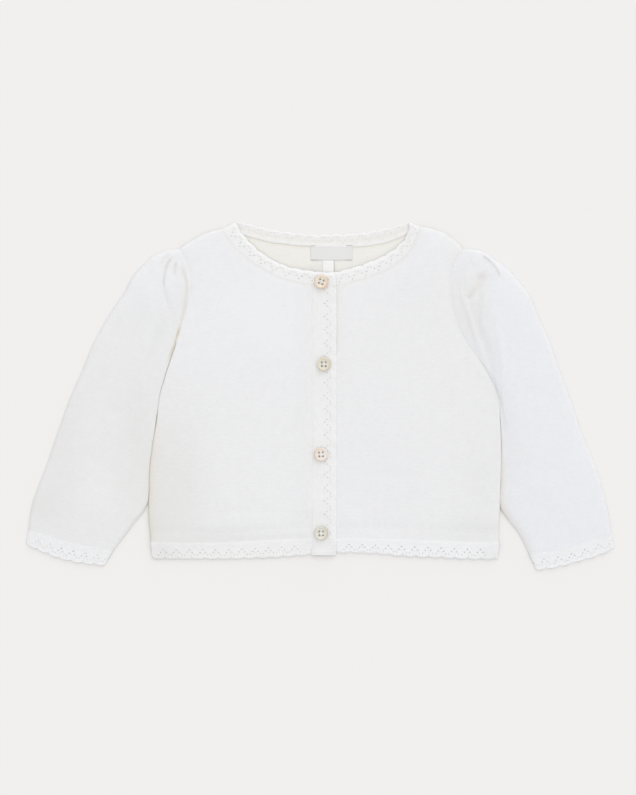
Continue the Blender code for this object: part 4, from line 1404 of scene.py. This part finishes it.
def flat_lace(
    name, rows, floor, apex, roll, first=None, count=None, notch=SCALLOP, thick=LACE_WALL, end=None,
    white=0.4, opened=0.75, tuck=(), lapped=(), flush=0.0, cool=0.3, cream=0.0, seam=0.04,
):
    """An edging laid as one sheet on a floor. `end` is the height of the floor's end over the table,
    `flush` how far from the free edge it starts to sink, `lapped` and `tuck` name the ends, 0 or 1,
    that go under another piece or turn in, and the last two arguments say how much warm shade is
    painted in a band along its middle and along its seam."""
    length, depth = lace_lengths(rows)
    count = count or int(length / REPEAT)
    first = (length - (count - 1) * REPEAT) / 2 if first is None else first
    lace = Lace(depth, apex, first, count, roll, notch, opened)
    share = with_rims(np.linspace(0, 1, round(length / CELL) + 1), length)
    keep, along, over_free = cut_eyelets(*lace_grid(lace, length, share), lace)
    plan = lace_plan(rows, lace, length, along, over_free)
    x, y = plan[..., 0], plan[..., 1]
    rest = floor(x, y)
    if end is not None:
        rest = rest + (end - rest) * smooth(1 - over_free / depth) - 0.5 * fading(over_free, 0.9)
    ground = rest + thick + lace_relief(along, over_free, depth - over_free, lace)
    thin = bend(over_free / 0.6)
    high = rest + 0.6 + (ground - rest - 0.6) * thin
    low = rest + 0.25 * (1 - thin)
    for at in lapped:
        close = 1 - bend(np.abs(along - at * length) / LAP_TURN)
        high, low = high - (thick - 0.3 + LAP_SINK) * close, low - LAP_SINK * close
    if flush:
        close = smooth(1 - over_free / flush)
        high, low = high - 2 * FLUSH_SINK * close, low - FLUSH_SINK * close
    for at in tuck:
        curl = bend(np.abs(along - at * length) / EDGE_ROLL)
        high, low = TUCK_HIGH + (high - TUCK_HIGH) * curl, TUCK_LOW + (low - TUCK_LOW) * curl
    # painted warm shade in the eyelets and along the seam; painted light and shade from the hills, and
    # painted light along the free edge
    pits = eyelet_pits(along, over_free, lace) + seam * fading(depth - over_free, 1.1)
    cloth = Cloth(
        outer=np.dstack([x, y, high]),
        inner=np.dstack([x, y, low]),
        uv=np.dstack([along, over_free]),
        crevice=pits + cream * fading(over_free - 5.8, 2.2),
        white=white + 0.5 * swell_height(x, y, PAINTED_LIGHT_AND_SHADE) + 0.5 * fading(over_free, 0.7),
        cool=cool,
    )
    return shell(name, cloth, lace_knit, keep, roll=0.5 * smooth(depth - over_free))


hem_right = flat_lace(
    "hem_lace_right", HEM_RIGHT, lapping_floor, 7.7, 0.35, 8.9, 11,
    notch=1.0, end=0.9, opened=0.8, white=0.7, cool=0.15,
)
hem_left = flat_lace(
    "hem_lace_left", HEM_LEFT, front_floor, 7.5, 0.35, 10.9, 11,
    notch=1.2, end=0.9, opened=0.88, white=0.82, cool=0.5,
)
hem_back = flat_lace("hem_lace_back", HEM_BACK, back_floor, 7.3, 0.0, thick=0.7, notch=0.8)
neck_right = flat_lace(
    "neck_lace_right", NECK_RIGHT, lapping_floor, 8.0, 0.0,
    notch=0.7, tuck=(0,), lapped=(1,), flush=3.0, seam=0.11,
)
neck_left = flat_lace(
    "neck_lace_left", NECK_LEFT, front_floor, 8.0, 0.0, notch=0.7, tuck=(1,), flush=3.0, seam=0.11
)
neck_back = flat_lace(
    "neck_lace_back", NECK_BACK, back_floor, 7.0, 0.6,
    notch=0.9, opened=0.0, tuck=(0, 1), cream=0.14, cool=0.1,
)

# %% [markdown]
# ## Cuffs
#
# The cuffs are the same lace, closed into tubes, so their chart runs on round the two folds. The
# tube's section is a flat ring: over the top, a tight half turn, and back along the table. One
# sheet bent round would do too, but a grid that closes on itself has no seam to hide.

# %% Lace that runs round
CUFF_OPEN, MOUTH_DROP = 0.9, 1.4  # how far the eyelets are drawn open; mm that the free edge sinks


def cuff_lace(name, rows, apex, roll, first):
    """An edging that runs round a cuff, laid flat."""
    width, depth = lace_lengths(rows)
    count = 2 * round(width / REPEAT)
    lace = Lace(depth, apex, first, count + 1, roll, SCALLOP, CUFF_OPEN)
    length = count * REPEAT
    columns = round(length / CELL)
    share = np.linspace(0, 1, columns + 1)
    keep, along, over_free = cut_eyelets(*lace_grid(lace, length, share), lace)
    lap = along / length * 2
    over = np.where(lap <= 1, lap, 2 - lap)

    # the notches below the fold lie elsewhere than those above it
    plan = lace_plan(rows, lace, width, over * width, over_free)
    drawn = scallop(along, lace) - scallop(over * width, lace)
    seam, free = through(seam_line(rows), over), through(free_line(rows), over)
    plan = plan + (seam - free) / depth * (drawn * smooth(1 - over_free / NOTCH_REACH))[..., None]

    rise = lace_relief(along, over_free, depth - over_free, lace)
    from_fold = np.minimum(over, 1 - over) * width
    mouth = CUFF_HEIGHT - MOUTH_DROP * smooth(1 - over_free / depth)
    half = FOLD_LOW * mouth
    middle = (plan[:, :1] + plan[:, columns // 2 : columns // 2 + 1]) / 2
    rings = []
    for thick in (0.0, LACE_WALL):
        wall = thick * (1 - 0.4 * smooth(1 - over_free / 4))
        keep_width = 1 - 2.2 * wall / width
        places = middle + (plan - middle) * keep_width[..., None]
        turn = bend(from_fold * keep_width / FOLD_TURN)
        crest = mouth - wall if thick else mouth + rise
        top = half + (crest - half) * turn
        bottom = half * (1 - turn) + wall * turn
        rings.append(np.dstack([places, np.where(lap <= 1, top, bottom)])[:, :-1])

    # painted light at the two folds and along the free edge, and painted shade along the seam
    white = 0.6 + 0.35 * np.exp(-from_fold / 0.8) + 0.4 * fading(over_free, 0.7)
    white = white - 0.3 * fading(depth - over_free - 0.5, 1.0)
    cloth = Cloth(
        outer=rings[0],
        inner=rings[1],
        uv=np.dstack([along, over_free])[:, :-1],
        crevice=eyelet_pits(along, over_free, lace)[:, :-1],
        white=white[:, :-1],
        cool=0.5,
    )
    return shell(name, cloth, lace_knit, keep, True, 0.5 * smooth(depth - over_free)[:, :-1])


cuff_right = cuff_lace("cuff_lace_right", CUFF_RIGHT, 7.4, 0.35, 0.0)
cuff_left = cuff_lace("cuff_lace_left", CUFF_LEFT, 7.4, 0.35, 1.7)

# %% [markdown]
# ## The button bands
#
# The lapping band has a plain strip where the buttons sit and the lace along its outer edge, with
# the V's turned on their sides. It ends in a plain block at the hem. The band under it hardly
# shows. Both are edgings like the others, with other floors: they come down with the hem beside
# them.

# %% Button bands
BAND_FIRST_V = 21.9  # mm above the band's bottom end


def band_floor(x, y):
    """Underside of the lapping band."""
    return lapping_floor(x, y) - 2.1 * smooth((18 - y) / 13) - 0.7 * smooth((6.4 - y) / 2.6)


def under_floor(x, y):
    """Underside of the band below it."""
    return front_floor(x, y) - 1.5 * smooth((18 - y) / 13)


band_over = flat_lace(
    "band_lace_over", BAND_OVER, band_floor, 9.6, 0.0, BAND_FIRST_V, 19,
    notch=0.7, opened=0.72, flush=5.0, white=0.34, cool=0.22,
)
band_under = flat_lace("band_lace_under", BAND_UNDER, under_floor, 5.6, 0.0, BAND_FIRST_V, 18, notch=0.5)

# %% [markdown]
# ## Shell buttons
#
# Each button is turned from shell: a rounded rim, a dished face and four drilled holes, with light
# and dark layers that make every one a little different. The face is a turned profile, and the
# holes are cut with a Boolean whose cutters flare at the top, so that their edges catch the light.

# %% Shell material
NACRE = {"Roughness": 0.28, "Coat Weight": 0.3, "Coat Roughness": 0.2}
# three colours; degrees that the holes are turned; the side whose rim is browner, 1 for the left
Shell = namedtuple("Shell", "face rim shade turn side")
SHELLS = (
    Shell((0.82, 0.80, 0.74), (0.73, 0.50, 0.32), (0.71, 0.62, 0.48), -20, 1),
    Shell((0.75, 0.76, 0.70), (0.64, 0.51, 0.36), (0.62, 0.59, 0.46), 0, 1),
    Shell((0.80, 0.76, 0.73), (0.71, 0.56, 0.42), (0.76, 0.70, 0.65), 3, -1),
    Shell((0.77, 0.77, 0.72), (0.54, 0.49, 0.38), (0.64, 0.62, 0.53), 2, 1),
)
grain_group, given, made_out = group_of(
    "shell_layers",
    [("Place", "NodeSocketVector", None), ("Spread", "NodeSocketFloat", 1.0)],
    [("Layers", "NodeSocketFloat"), ("Cloud", "NodeSocketFloat")],
)
tree = grain_group
swirl = tree.nodes.new("ShaderNodeTexWave")
tree.links.new(given.outputs["Place"], swirl.inputs["Vector"])
swirl.inputs["Scale"].default_value = 120.0
swirl.inputs["Distortion"].default_value = 6.0
swirl.inputs["Detail"].default_value = 2.0
layers = calc(tree, "MULTIPLY", swirl.outputs["Fac"], given.outputs["Spread"])
tree.links.new(layers, made_out.inputs["Layers"])
tree.links.new(noise(tree, given.outputs["Place"], 260.0, 2.0), made_out.inputs["Cloud"])


def shell_material(name, look):
    """Polished shell: cloudy layers on the face, and its own colour on the rim."""
    made, tree, shader = new_finish(name, NACRE)
    place = tree.nodes.new("ShaderNodeTexCoord")
    grain = use_group(tree, grain_group, Place=place.outputs["Object"], Spread=0.8)
    rim = mask_of(tree, "rim")
    cloudy = mix_colours(tree, grain.outputs["Cloud"], (*look.shade, 1), (*look.face, 1))
    layers = calc(tree, "MULTIPLY", grain.outputs["Layers"], 0.25)
    layered = mix_colours(tree, layers, cloudy, (*look.rim, 1))
    coloured = mix_colours(tree, rim, layered, (*look.rim, 1))
    tree.links.new(coloured, shader.inputs["Base Color"])
    return made


print("shell finishes for", len(SHELLS), "buttons")

# %% Buttons
Turned = namedtuple("Turned", "radius z rim")  # rim: how much of the rim's colour it has
BUTTON_PROFILE = (
    Turned(0.0, 0.0, 0),
    Turned(4.9, 0.0, 0.3),
    Turned(5.3, 0.25, 0.8),
    Turned(5.48, 0.7, 1),
    Turned(5.5, 1.2, 1),
    Turned(5.4, 1.6, 1),
    Turned(5.15, 1.95, 1),
    Turned(4.85, 2.15, 0.9),
    Turned(4.5, 2.2, 0.65),
    Turned(4.15, 2.1, 0.4),
    Turned(3.8, 1.9, 0.2),
    Turned(3.4, 1.7, 0.08),
    Turned(2.8, 1.6, 0),
    Turned(0.0, 1.58, 0),
)
HOLE_PROFILE = (
    Turned(0, -1, 0),
    Turned(0.95, -1, 0),
    Turned(0.8, 0.4, 0),
    Turned(0.78, 1.3, 0),
    Turned(0.95, 1.62, 0),
    Turned(1.3, 2.1, 0),
    Turned(0, 2.1, 0),
)
ROUND, HOLE_ROUND = 56, 20  # sides of a button and of a hole
HOLE_SPREAD = 1.45
RIM_EDGE = radians(38)  # a sharper edge than this isn't shaded smooth


def turned(profile, sides, centre=(0.0, 0.0)):
    """Points and faces of a closed turned shape whose first and last row lie on its axis."""
    points = [(*centre, profile[0].z)]
    for row in profile[1:-1]:
        for k in range(sides):
            turn = 2 * pi * k / sides
            points.append((centre[0] + row.radius * cos(turn), centre[1] + row.radius * sin(turn), row.z))
    points.append((*centre, profile[-1].z))
    faces = []
    for k in range(sides):
        n = (k + 1) % sides
        faces.append((0, 1 + n, 1 + k))
        for ring in range(len(profile) - 3):
            low, high = 1 + ring * sides, 1 + (ring + 1) * sides
            faces.append((low + k, low + n, high + n, high + k))
        last = 1 + (len(profile) - 3) * sides
        faces.append((last + k, last + n, len(points) - 1))
    return points, faces


def hole_cutter(finish):
    """Four flared pins where a button's holes go."""
    points, faces = [], []
    for across in (-HOLE_SPREAD, HOLE_SPREAD):
        for up in (-HOLE_SPREAD, HOLE_SPREAD):
            more, sides = turned(HOLE_PROFILE, HOLE_ROUND, (across, up))
            faces += [tuple(len(points) + corner for corner in face) for face in sides]
            points += more
    return mesh_object("drill", points, faces, finish)


def drill(blank, cutter):
    """Takes the cutter out of a blank."""
    for piece in (blank, cutter):
        shape = bmesh.new()
        shape.from_mesh(piece.data)
        bmesh.ops.recalc_face_normals(shape, faces=shape.faces)
        shape.to_mesh(piece.data)
        shape.free()
    cut = blank.modifiers.new("drill", "BOOLEAN")
    cut.object = cutter
    cut.operation = "DIFFERENCE"
    bpy.context.view_layer.update()
    seen = bpy.context.evaluated_depsgraph_get()
    drilled = bpy.data.meshes.new_from_object(blank.evaluated_get(seen))
    blank.modifiers.clear()
    blank.data = drilled
    bpy.data.objects.remove(cutter)


def shell_button(number, look):
    """A four-hole button where its frame node is."""
    low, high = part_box(f"button_{number}")
    place = np.array([(low.x + high.x) / 2, (low.y + high.y) / 2, low.z]) / MM - SHIFT
    finish = shell_material(f"shell_{number}", look)
    made = mesh_object(f"shell_button_{number}", *turned(BUTTON_PROFILE, ROUND), finish)
    drill(made, hole_cutter(finish))
    drilled = made.data
    local = np.array([v.co for v in drilled.vertices]) / MM - SHIFT
    far = np.hypot(local[:, 0], local[:, 1])
    rising = BUTTON_PROFILE[-2:6:-1]  # from the dish out to the rim
    browned = np.interp(far, [row.radius for row in rising], [row.rim for row in rising])
    sided = 0.55 + 0.45 * look.side * local[:, 0] / BUTTON_PROFILE[4].radius
    mask = drilled.attributes.new("rim", "FLOAT", "POINT")
    mask.data.foreach_set("value", (browned * sided).astype(np.float32))
    turn = radians(look.turn)
    spun = local @ np.array([[cos(turn), sin(turn), 0], [-sin(turn), cos(turn), 0], [0, 0, 1]])
    drilled.vertices.foreach_set("co", ((spun + place + SHIFT) * MM).astype(np.float32).ravel())
    drilled.shade_smooth()
    drilled.set_sharp_from_angle(angle=RIM_EDGE)
    return made, place


buttons, button_places = [], []
for number, look in enumerate(SHELLS, 1):
    button, place = shell_button(number, look)
    buttons.append(button)
    button_places.append(place)
print("buttons", [len(b.data.polygons) for b in buttons], "faces")

# %% [markdown]
# ## Thread
#
# Each button is held by a cross of white thread, two strands side by side each way. A strand rises
# out of one hole, runs over the middle and goes down the hole across. `strands` makes round tubes
# along such paths, and joins them into one piece for each button.

# %% Thread
THREAD_RADIUS = 0.21
THREAD_SURFACE = {"Roughness": 0.8}
ASKEW = (0.31, 0.17, 0.93)  # a direction that no strand runs along
PAIR_SHIFT = 0.2  # mm from the middle of a pair to each of its strands
THREAD_HEIGHT, SECOND_PAIR = 2.05, 0.12  # mm over the button's foot; the second pair lies higher


def thread_material(name, dark, light, mottle):
    """Matt thread, mottled between two greys."""
    made, tree, shader = new_finish(name, THREAD_SURFACE)
    place = tree.nodes.new("ShaderNodeTexCoord")
    shade = noise(tree, place.outputs["Object"], mottle)
    tree.links.new(mix_colours(tree, shade, dark, light), shader.inputs["Base Color"])
    return made


def strands(name, paths, radius, finish, sides=8):
    """Round tubes with closed ends along paths of points, as one piece."""
    points, faces = [], []
    turns = 2 * pi * np.arange(sides) / sides
    for path in paths:
        path = np.array(path, float)
        run = np.gradient(path, axis=0)
        run /= np.linalg.norm(run, axis=1)[:, None]
        aside = np.cross(run, ASKEW)
        aside /= np.linalg.norm(aside, axis=1)[:, None]
        above = np.cross(run, aside)
        first = len(points)
        ring = aside[:, None] * np.cos(turns)[None, :, None] + above[:, None] * np.sin(turns)[None, :, None]
        points += (path[:, None] + radius * ring).reshape(-1, 3).tolist()
        for i in range(len(path) - 1):
            for k in range(sides):
                n = (k + 1) % sides
                a, b = first + i * sides, first + (i + 1) * sides
                faces.append((a + k, a + n, b + n, b + k))
        faces.append(tuple(first + k for k in reversed(range(sides))))
        faces.append(tuple(first + (len(path) - 1) * sides + k for k in range(sides)))
    return mesh_object(name, points, faces, finish)


def button_thread(number, place, turn):
    """Two pairs of strands across the button's middle, from hole to hole."""
    t = np.linspace(-1, 1, 17)
    reach = 0.84 * HOLE_SPREAD * 2**0.5
    down_the_hole = 1.9 * np.maximum(0.0, np.abs(t) - 0.78) / 0.22
    lift = THREAD_HEIGHT - 0.18 * t * t - down_the_hole
    paths = []
    for diagonal, higher in ((45, 0.0), (135, SECOND_PAIR)):
        angle = radians(diagonal + turn)
        way, beside = np.array([cos(angle), sin(angle)]), np.array([-sin(angle), cos(angle)])
        for shift in (-PAIR_SHIFT, PAIR_SHIFT):
            flat = place[:2] + reach * t[:, None] * way + shift * beside
            paths.append(np.column_stack([flat, place[2] + lift + higher]))
    return strands(f"button_thread_{number}", paths, THREAD_RADIUS, thread_finish)


thread_finish = thread_material("thread", (0.80, 0.79, 0.77, 1), (0.88, 0.88, 0.87, 1), 900.0)
threads = []
for number, (place, look) in enumerate(zip(button_places, SHELLS), 1):
    threads.append(button_thread(number, place, look.turn))
print("thread on", len(threads), "buttons")

# %% [markdown]
# ## Label and size tag
#
# The label is a woven tape, greyer and tighter than the knit, sewn inside the back neck with a short
# bar of thread at each corner. It is left bare. A small white tag hangs from under it, and its left
# side stands off a little, with a painted shadow along that side and a painted yellow shade along the
# other. Both are flat strips that a small function of two shares lifts off the cloth, which is shorter
# than to move their points by hand.

# %% Woven tape material
TAPE = {"Roughness": 0.7}
# colours of a painted shade and a painted shadow along a tape's edges
PAINTED_SHADE_YELLOW, PAINTED_SHADOW_GREY = (0.74, 0.69, 0.56, 1), (0.3, 0.29, 0.27, 1)
TAPE_THREAD = 0.1  # mm
weave_group, given, made_out = group_of(
    "plain_weave",
    [("Place", "NodeSocketVector", None), ("Threads", "NodeSocketFloat", 3.0)],
    [("Weave", "NodeSocketFloat")],
)
tree = weave_group
split = tree.nodes.new("ShaderNodeSeparateXYZ")
tree.links.new(given.outputs["Place"], split.inputs[0])
ways = []
for axis, phase in ((0, 0.0), (1, pi / 2)):
    passed = calc(tree, "MULTIPLY", split.outputs[axis], given.outputs["Threads"])
    ways.append(calc(tree, "SINE", calc(tree, "MULTIPLY_ADD", passed, 2 * pi, phase)))
over_and_under = calc(tree, "MULTIPLY", ways[0], ways[1])
tree.links.new(calc(tree, "MULTIPLY_ADD", over_and_under, 0.5, 0.5), made_out.inputs["Weave"])


def tape_material(name, light, dark, threads_per_mm):
    """Woven tape, whose masks say where a painted yellow shade and a painted dark shadow lie along its
    edges.
    """
    made, tree, shader = new_finish(name, TAPE)
    place = on_cloth(tree)
    weave = use_group(tree, weave_group, Place=place, Threads=threads_per_mm)
    uneven = calc(tree, "MULTIPLY", noise(tree, place, 0.8), 0.5)
    shade = calc(tree, "MULTIPLY_ADD", weave.outputs["Weave"], 0.5, uneven)
    plain = mix_colours(tree, shade, dark, light)
    yellow_shaded = mix_colours(tree, mask_of(tree, "white"), plain, PAINTED_SHADE_YELLOW)
    shadow_painted = mix_colours(tree, mask_of(tree, "crevice"), yellow_shaded, PAINTED_SHADOW_GREY)
    tree.links.new(shadow_painted, shader.inputs["Base Color"])
    raise_surface(tree, shader, weave.outputs["Weave"], 0.5, TAPE_THREAD)
    return made


label_finish = tape_material("label_tape", (0.76, 0.76, 0.75, 1), (0.70, 0.70, 0.69, 1), 2.2)
tag_finish = tape_material("tag_tape", (0.87, 0.87, 0.865, 1), (0.83, 0.83, 0.82, 1), 2.8)
print("woven finishes:", label_finish.name, "and", tag_finish.name)

# %% Label, tag and their stitches
Strip = namedtuple("Strip", "right left low high")
LABEL = Strip(-9.1, 24.1, 237.0, 248.8)
TAG = Strip(0.2, 9.6, 223.0, 236.9)
TAPE_GAP = 0.04  # mm over the back
Tack = namedtuple("Tack", "start end y")
TACKS = (
    Tack(-8.9, -5.2, 248.6),
    Tack(19.4, 23.9, 248.7),
    Tack(-8.6, -3.0, 237.3),
    Tack(18.6, 23.6, 237.3),
)
TACK_STITCHES, TACK_RADIUS, TACK_HEIGHT = 5, 0.16, 0.55
TACK_ARCH = (-0.25, 0.0, 0.05, 0.0, -0.25)


def tape(name, strip, thick, lift, finish, edge=0.0):
    """A strip of tape on the back's inside; `edge` is how strong a painted shadow along its left side and a
    painted yellow shade along its right side are.
    """
    width, height = strip.left - strip.right, strip.high - strip.low
    across, up = np.linspace(0, 1, 41), np.linspace(0, 1, 21)
    x, y = np.meshgrid(strip.right + width * across, strip.low + height * up)
    z = WALL + TAPE_GAP + lift(*np.meshgrid(across, up))
    cloth = Cloth(
        outer=np.dstack([x, y, z + thick]),
        inner=np.dstack([x, y, z]),
        uv=np.dstack([x, y]),
        crevice=edge * fading((1 - across) * width, 0.35),
        white=edge * fading(across * width, 0.4),
    )
    return shell(name, cloth, finish)


def label_lift(across, up):
    """Held down at its corners, a little hollow between them."""
    return 0.07 * np.sin(pi * across) * (1 - up * 0.5) + 0.03 * (2 * up - 1) ** 2


def tag_lift(across, up):
    """Held at its top under the label, its left side standing off."""
    return 0.1 + 1.1 * across**3 * smooth((1 - up) * 1.4)


label = tape("label_cloth", LABEL, 0.16, label_lift, label_finish)
tag = tape("tag_cloth", TAG, 0.2, tag_lift, tag_finish, 0.9)

tack_finish = thread_material("tack_thread", (0.42, 0.41, 0.39, 1), (0.56, 0.55, 0.53, 1), 700.0)
tack_paths = []
for tack in TACKS:
    pitch = (tack.end - tack.start) / TACK_STITCHES
    for k in range(TACK_STITCHES):
        a = tack.start + k * pitch
        b = a + 0.9 * pitch
        ends = (a, a + 0.1, (a + b) / 2, b - 0.1, b)
        tack_paths.append([(x, tack.y, WALL + TACK_HEIGHT + up) for x, up in zip(ends, TACK_ARCH)])
label_tacks = strands("label_tacks", tack_paths, TACK_RADIUS, tack_finish, 6)
print("label, tag and", len(tack_paths), "stitches")

# %% [markdown]
# ## The table
#
# The table is a plain pale sheet. Its colour is a touch warmer than the cloth's, so that the white
# garment still stands out against it.

# %% Table
TABLE_HALF = 4.0
PAINT = {"Base Color": (0.80, 0.792, 0.777, 1), "Roughness": 1.0, "Specular IOR Level": 0.0}
table_mesh = bpy.data.meshes.new("table")
corners = [(a * TABLE_HALF, b * TABLE_HALF, 0.0) for a, b in ((-1, -1), (1, -1), (1, 1), (-1, 1))]
table_mesh.from_pydata(corners, [], [(0, 1, 2, 3)])
table = bpy.data.objects.new("table", table_mesh)
bpy.context.scene.collection.objects.link(table)
table_mesh.materials.append(new_finish("table_paint", PAINT)[0])
table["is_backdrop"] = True
print("table", 2 * TABLE_HALF, "m wide")

# %% [markdown]
# ## What each piece is
#
# Every piece rides on the one body of the frame and stands for the frame's plain solid of the same
# part, which is hidden. The table below lists each stretch of cloth with the size that it was cut to.
# For a sleeve or a cuff that is the cloth all round the tube.

# %% Riding, and the table of slots and cuts
Cut = namedtuple("Cut", "piece node slot width length area rests")
CUTS = (
    Cut(back_panel, "back_panel", "knit", 0.283, 0.250, 0.0615, ("table",)),
    Cut(front_right, "front_right", "knit", 0.131, 0.247, 0.0275, ("back_cloth",)),
    Cut(front_left, "front_left", "knit", 0.132, 0.250, 0.0282, ("back_cloth",)),
    Cut(sleeve_right, "sleeve_right", "knit", 0.250, 0.255, 0.0350, ("table",)),
    Cut(sleeve_left, "sleeve_left", "knit", 0.250, 0.255, 0.0350, ("table",)),
    Cut(neck_back, "neck_edging_back", "lace_edging", 0.0105, 0.168, None, ("table",)),
    Cut(neck_right, "neck_edging_right", "lace_edging", 0.0112, 0.102, None, ("back_cloth",)),
    Cut(neck_left, "neck_edging_left", "lace_edging", 0.0105, 0.100, None, ("back_cloth",)),
    Cut(band_over, "button_band_over", "lace_edging", 0.0194, 0.213, None, ("band_lace_under",)),
    Cut(band_under, "button_band_under", "lace_edging", 0.0154, 0.210, None, ("back_cloth",)),
    Cut(hem_back, "hem_edging_back", "lace_edging", 0.0130, 0.275, None, ("table",)),
    Cut(hem_right, "hem_edging_right", "lace_edging", 0.0140, 0.127, None, ("hem_lace_back",)),
    Cut(hem_left, "hem_edging_left", "lace_edging", 0.0140, 0.130, None, ("hem_lace_back",)),
    Cut(cuff_right, "cuff_edging_right", "lace_edging", 0.0145, 0.138, None, ("table",)),
    Cut(cuff_left, "cuff_edging_left", "lace_edging", 0.0145, 0.138, None, ("table",)),
    Cut(label, "neck_label", "label_tape", 0.0332, 0.0118, None, ("back_cloth",)),
    Cut(tag, "size_tag", "tag_tape", 0.0100, 0.0139, None, ("back_cloth",)),
)
for cut in CUTS:
    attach(cut.piece, "root")
    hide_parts(cut.node)
for number, (button, thread) in enumerate(zip(buttons, threads), 1):
    for piece, slot in ((button, "shell_button"), (thread, "lace_edging")):
        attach(piece, "root")
    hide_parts(f"button_{number}")
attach(label_tacks, "root")
triangles = sum(len(p.vertices) - 2 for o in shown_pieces() if o.type == "MESH" for p in o.data.polygons)
print(len(CUTS), "cut pieces,", triangles, "triangles in all")
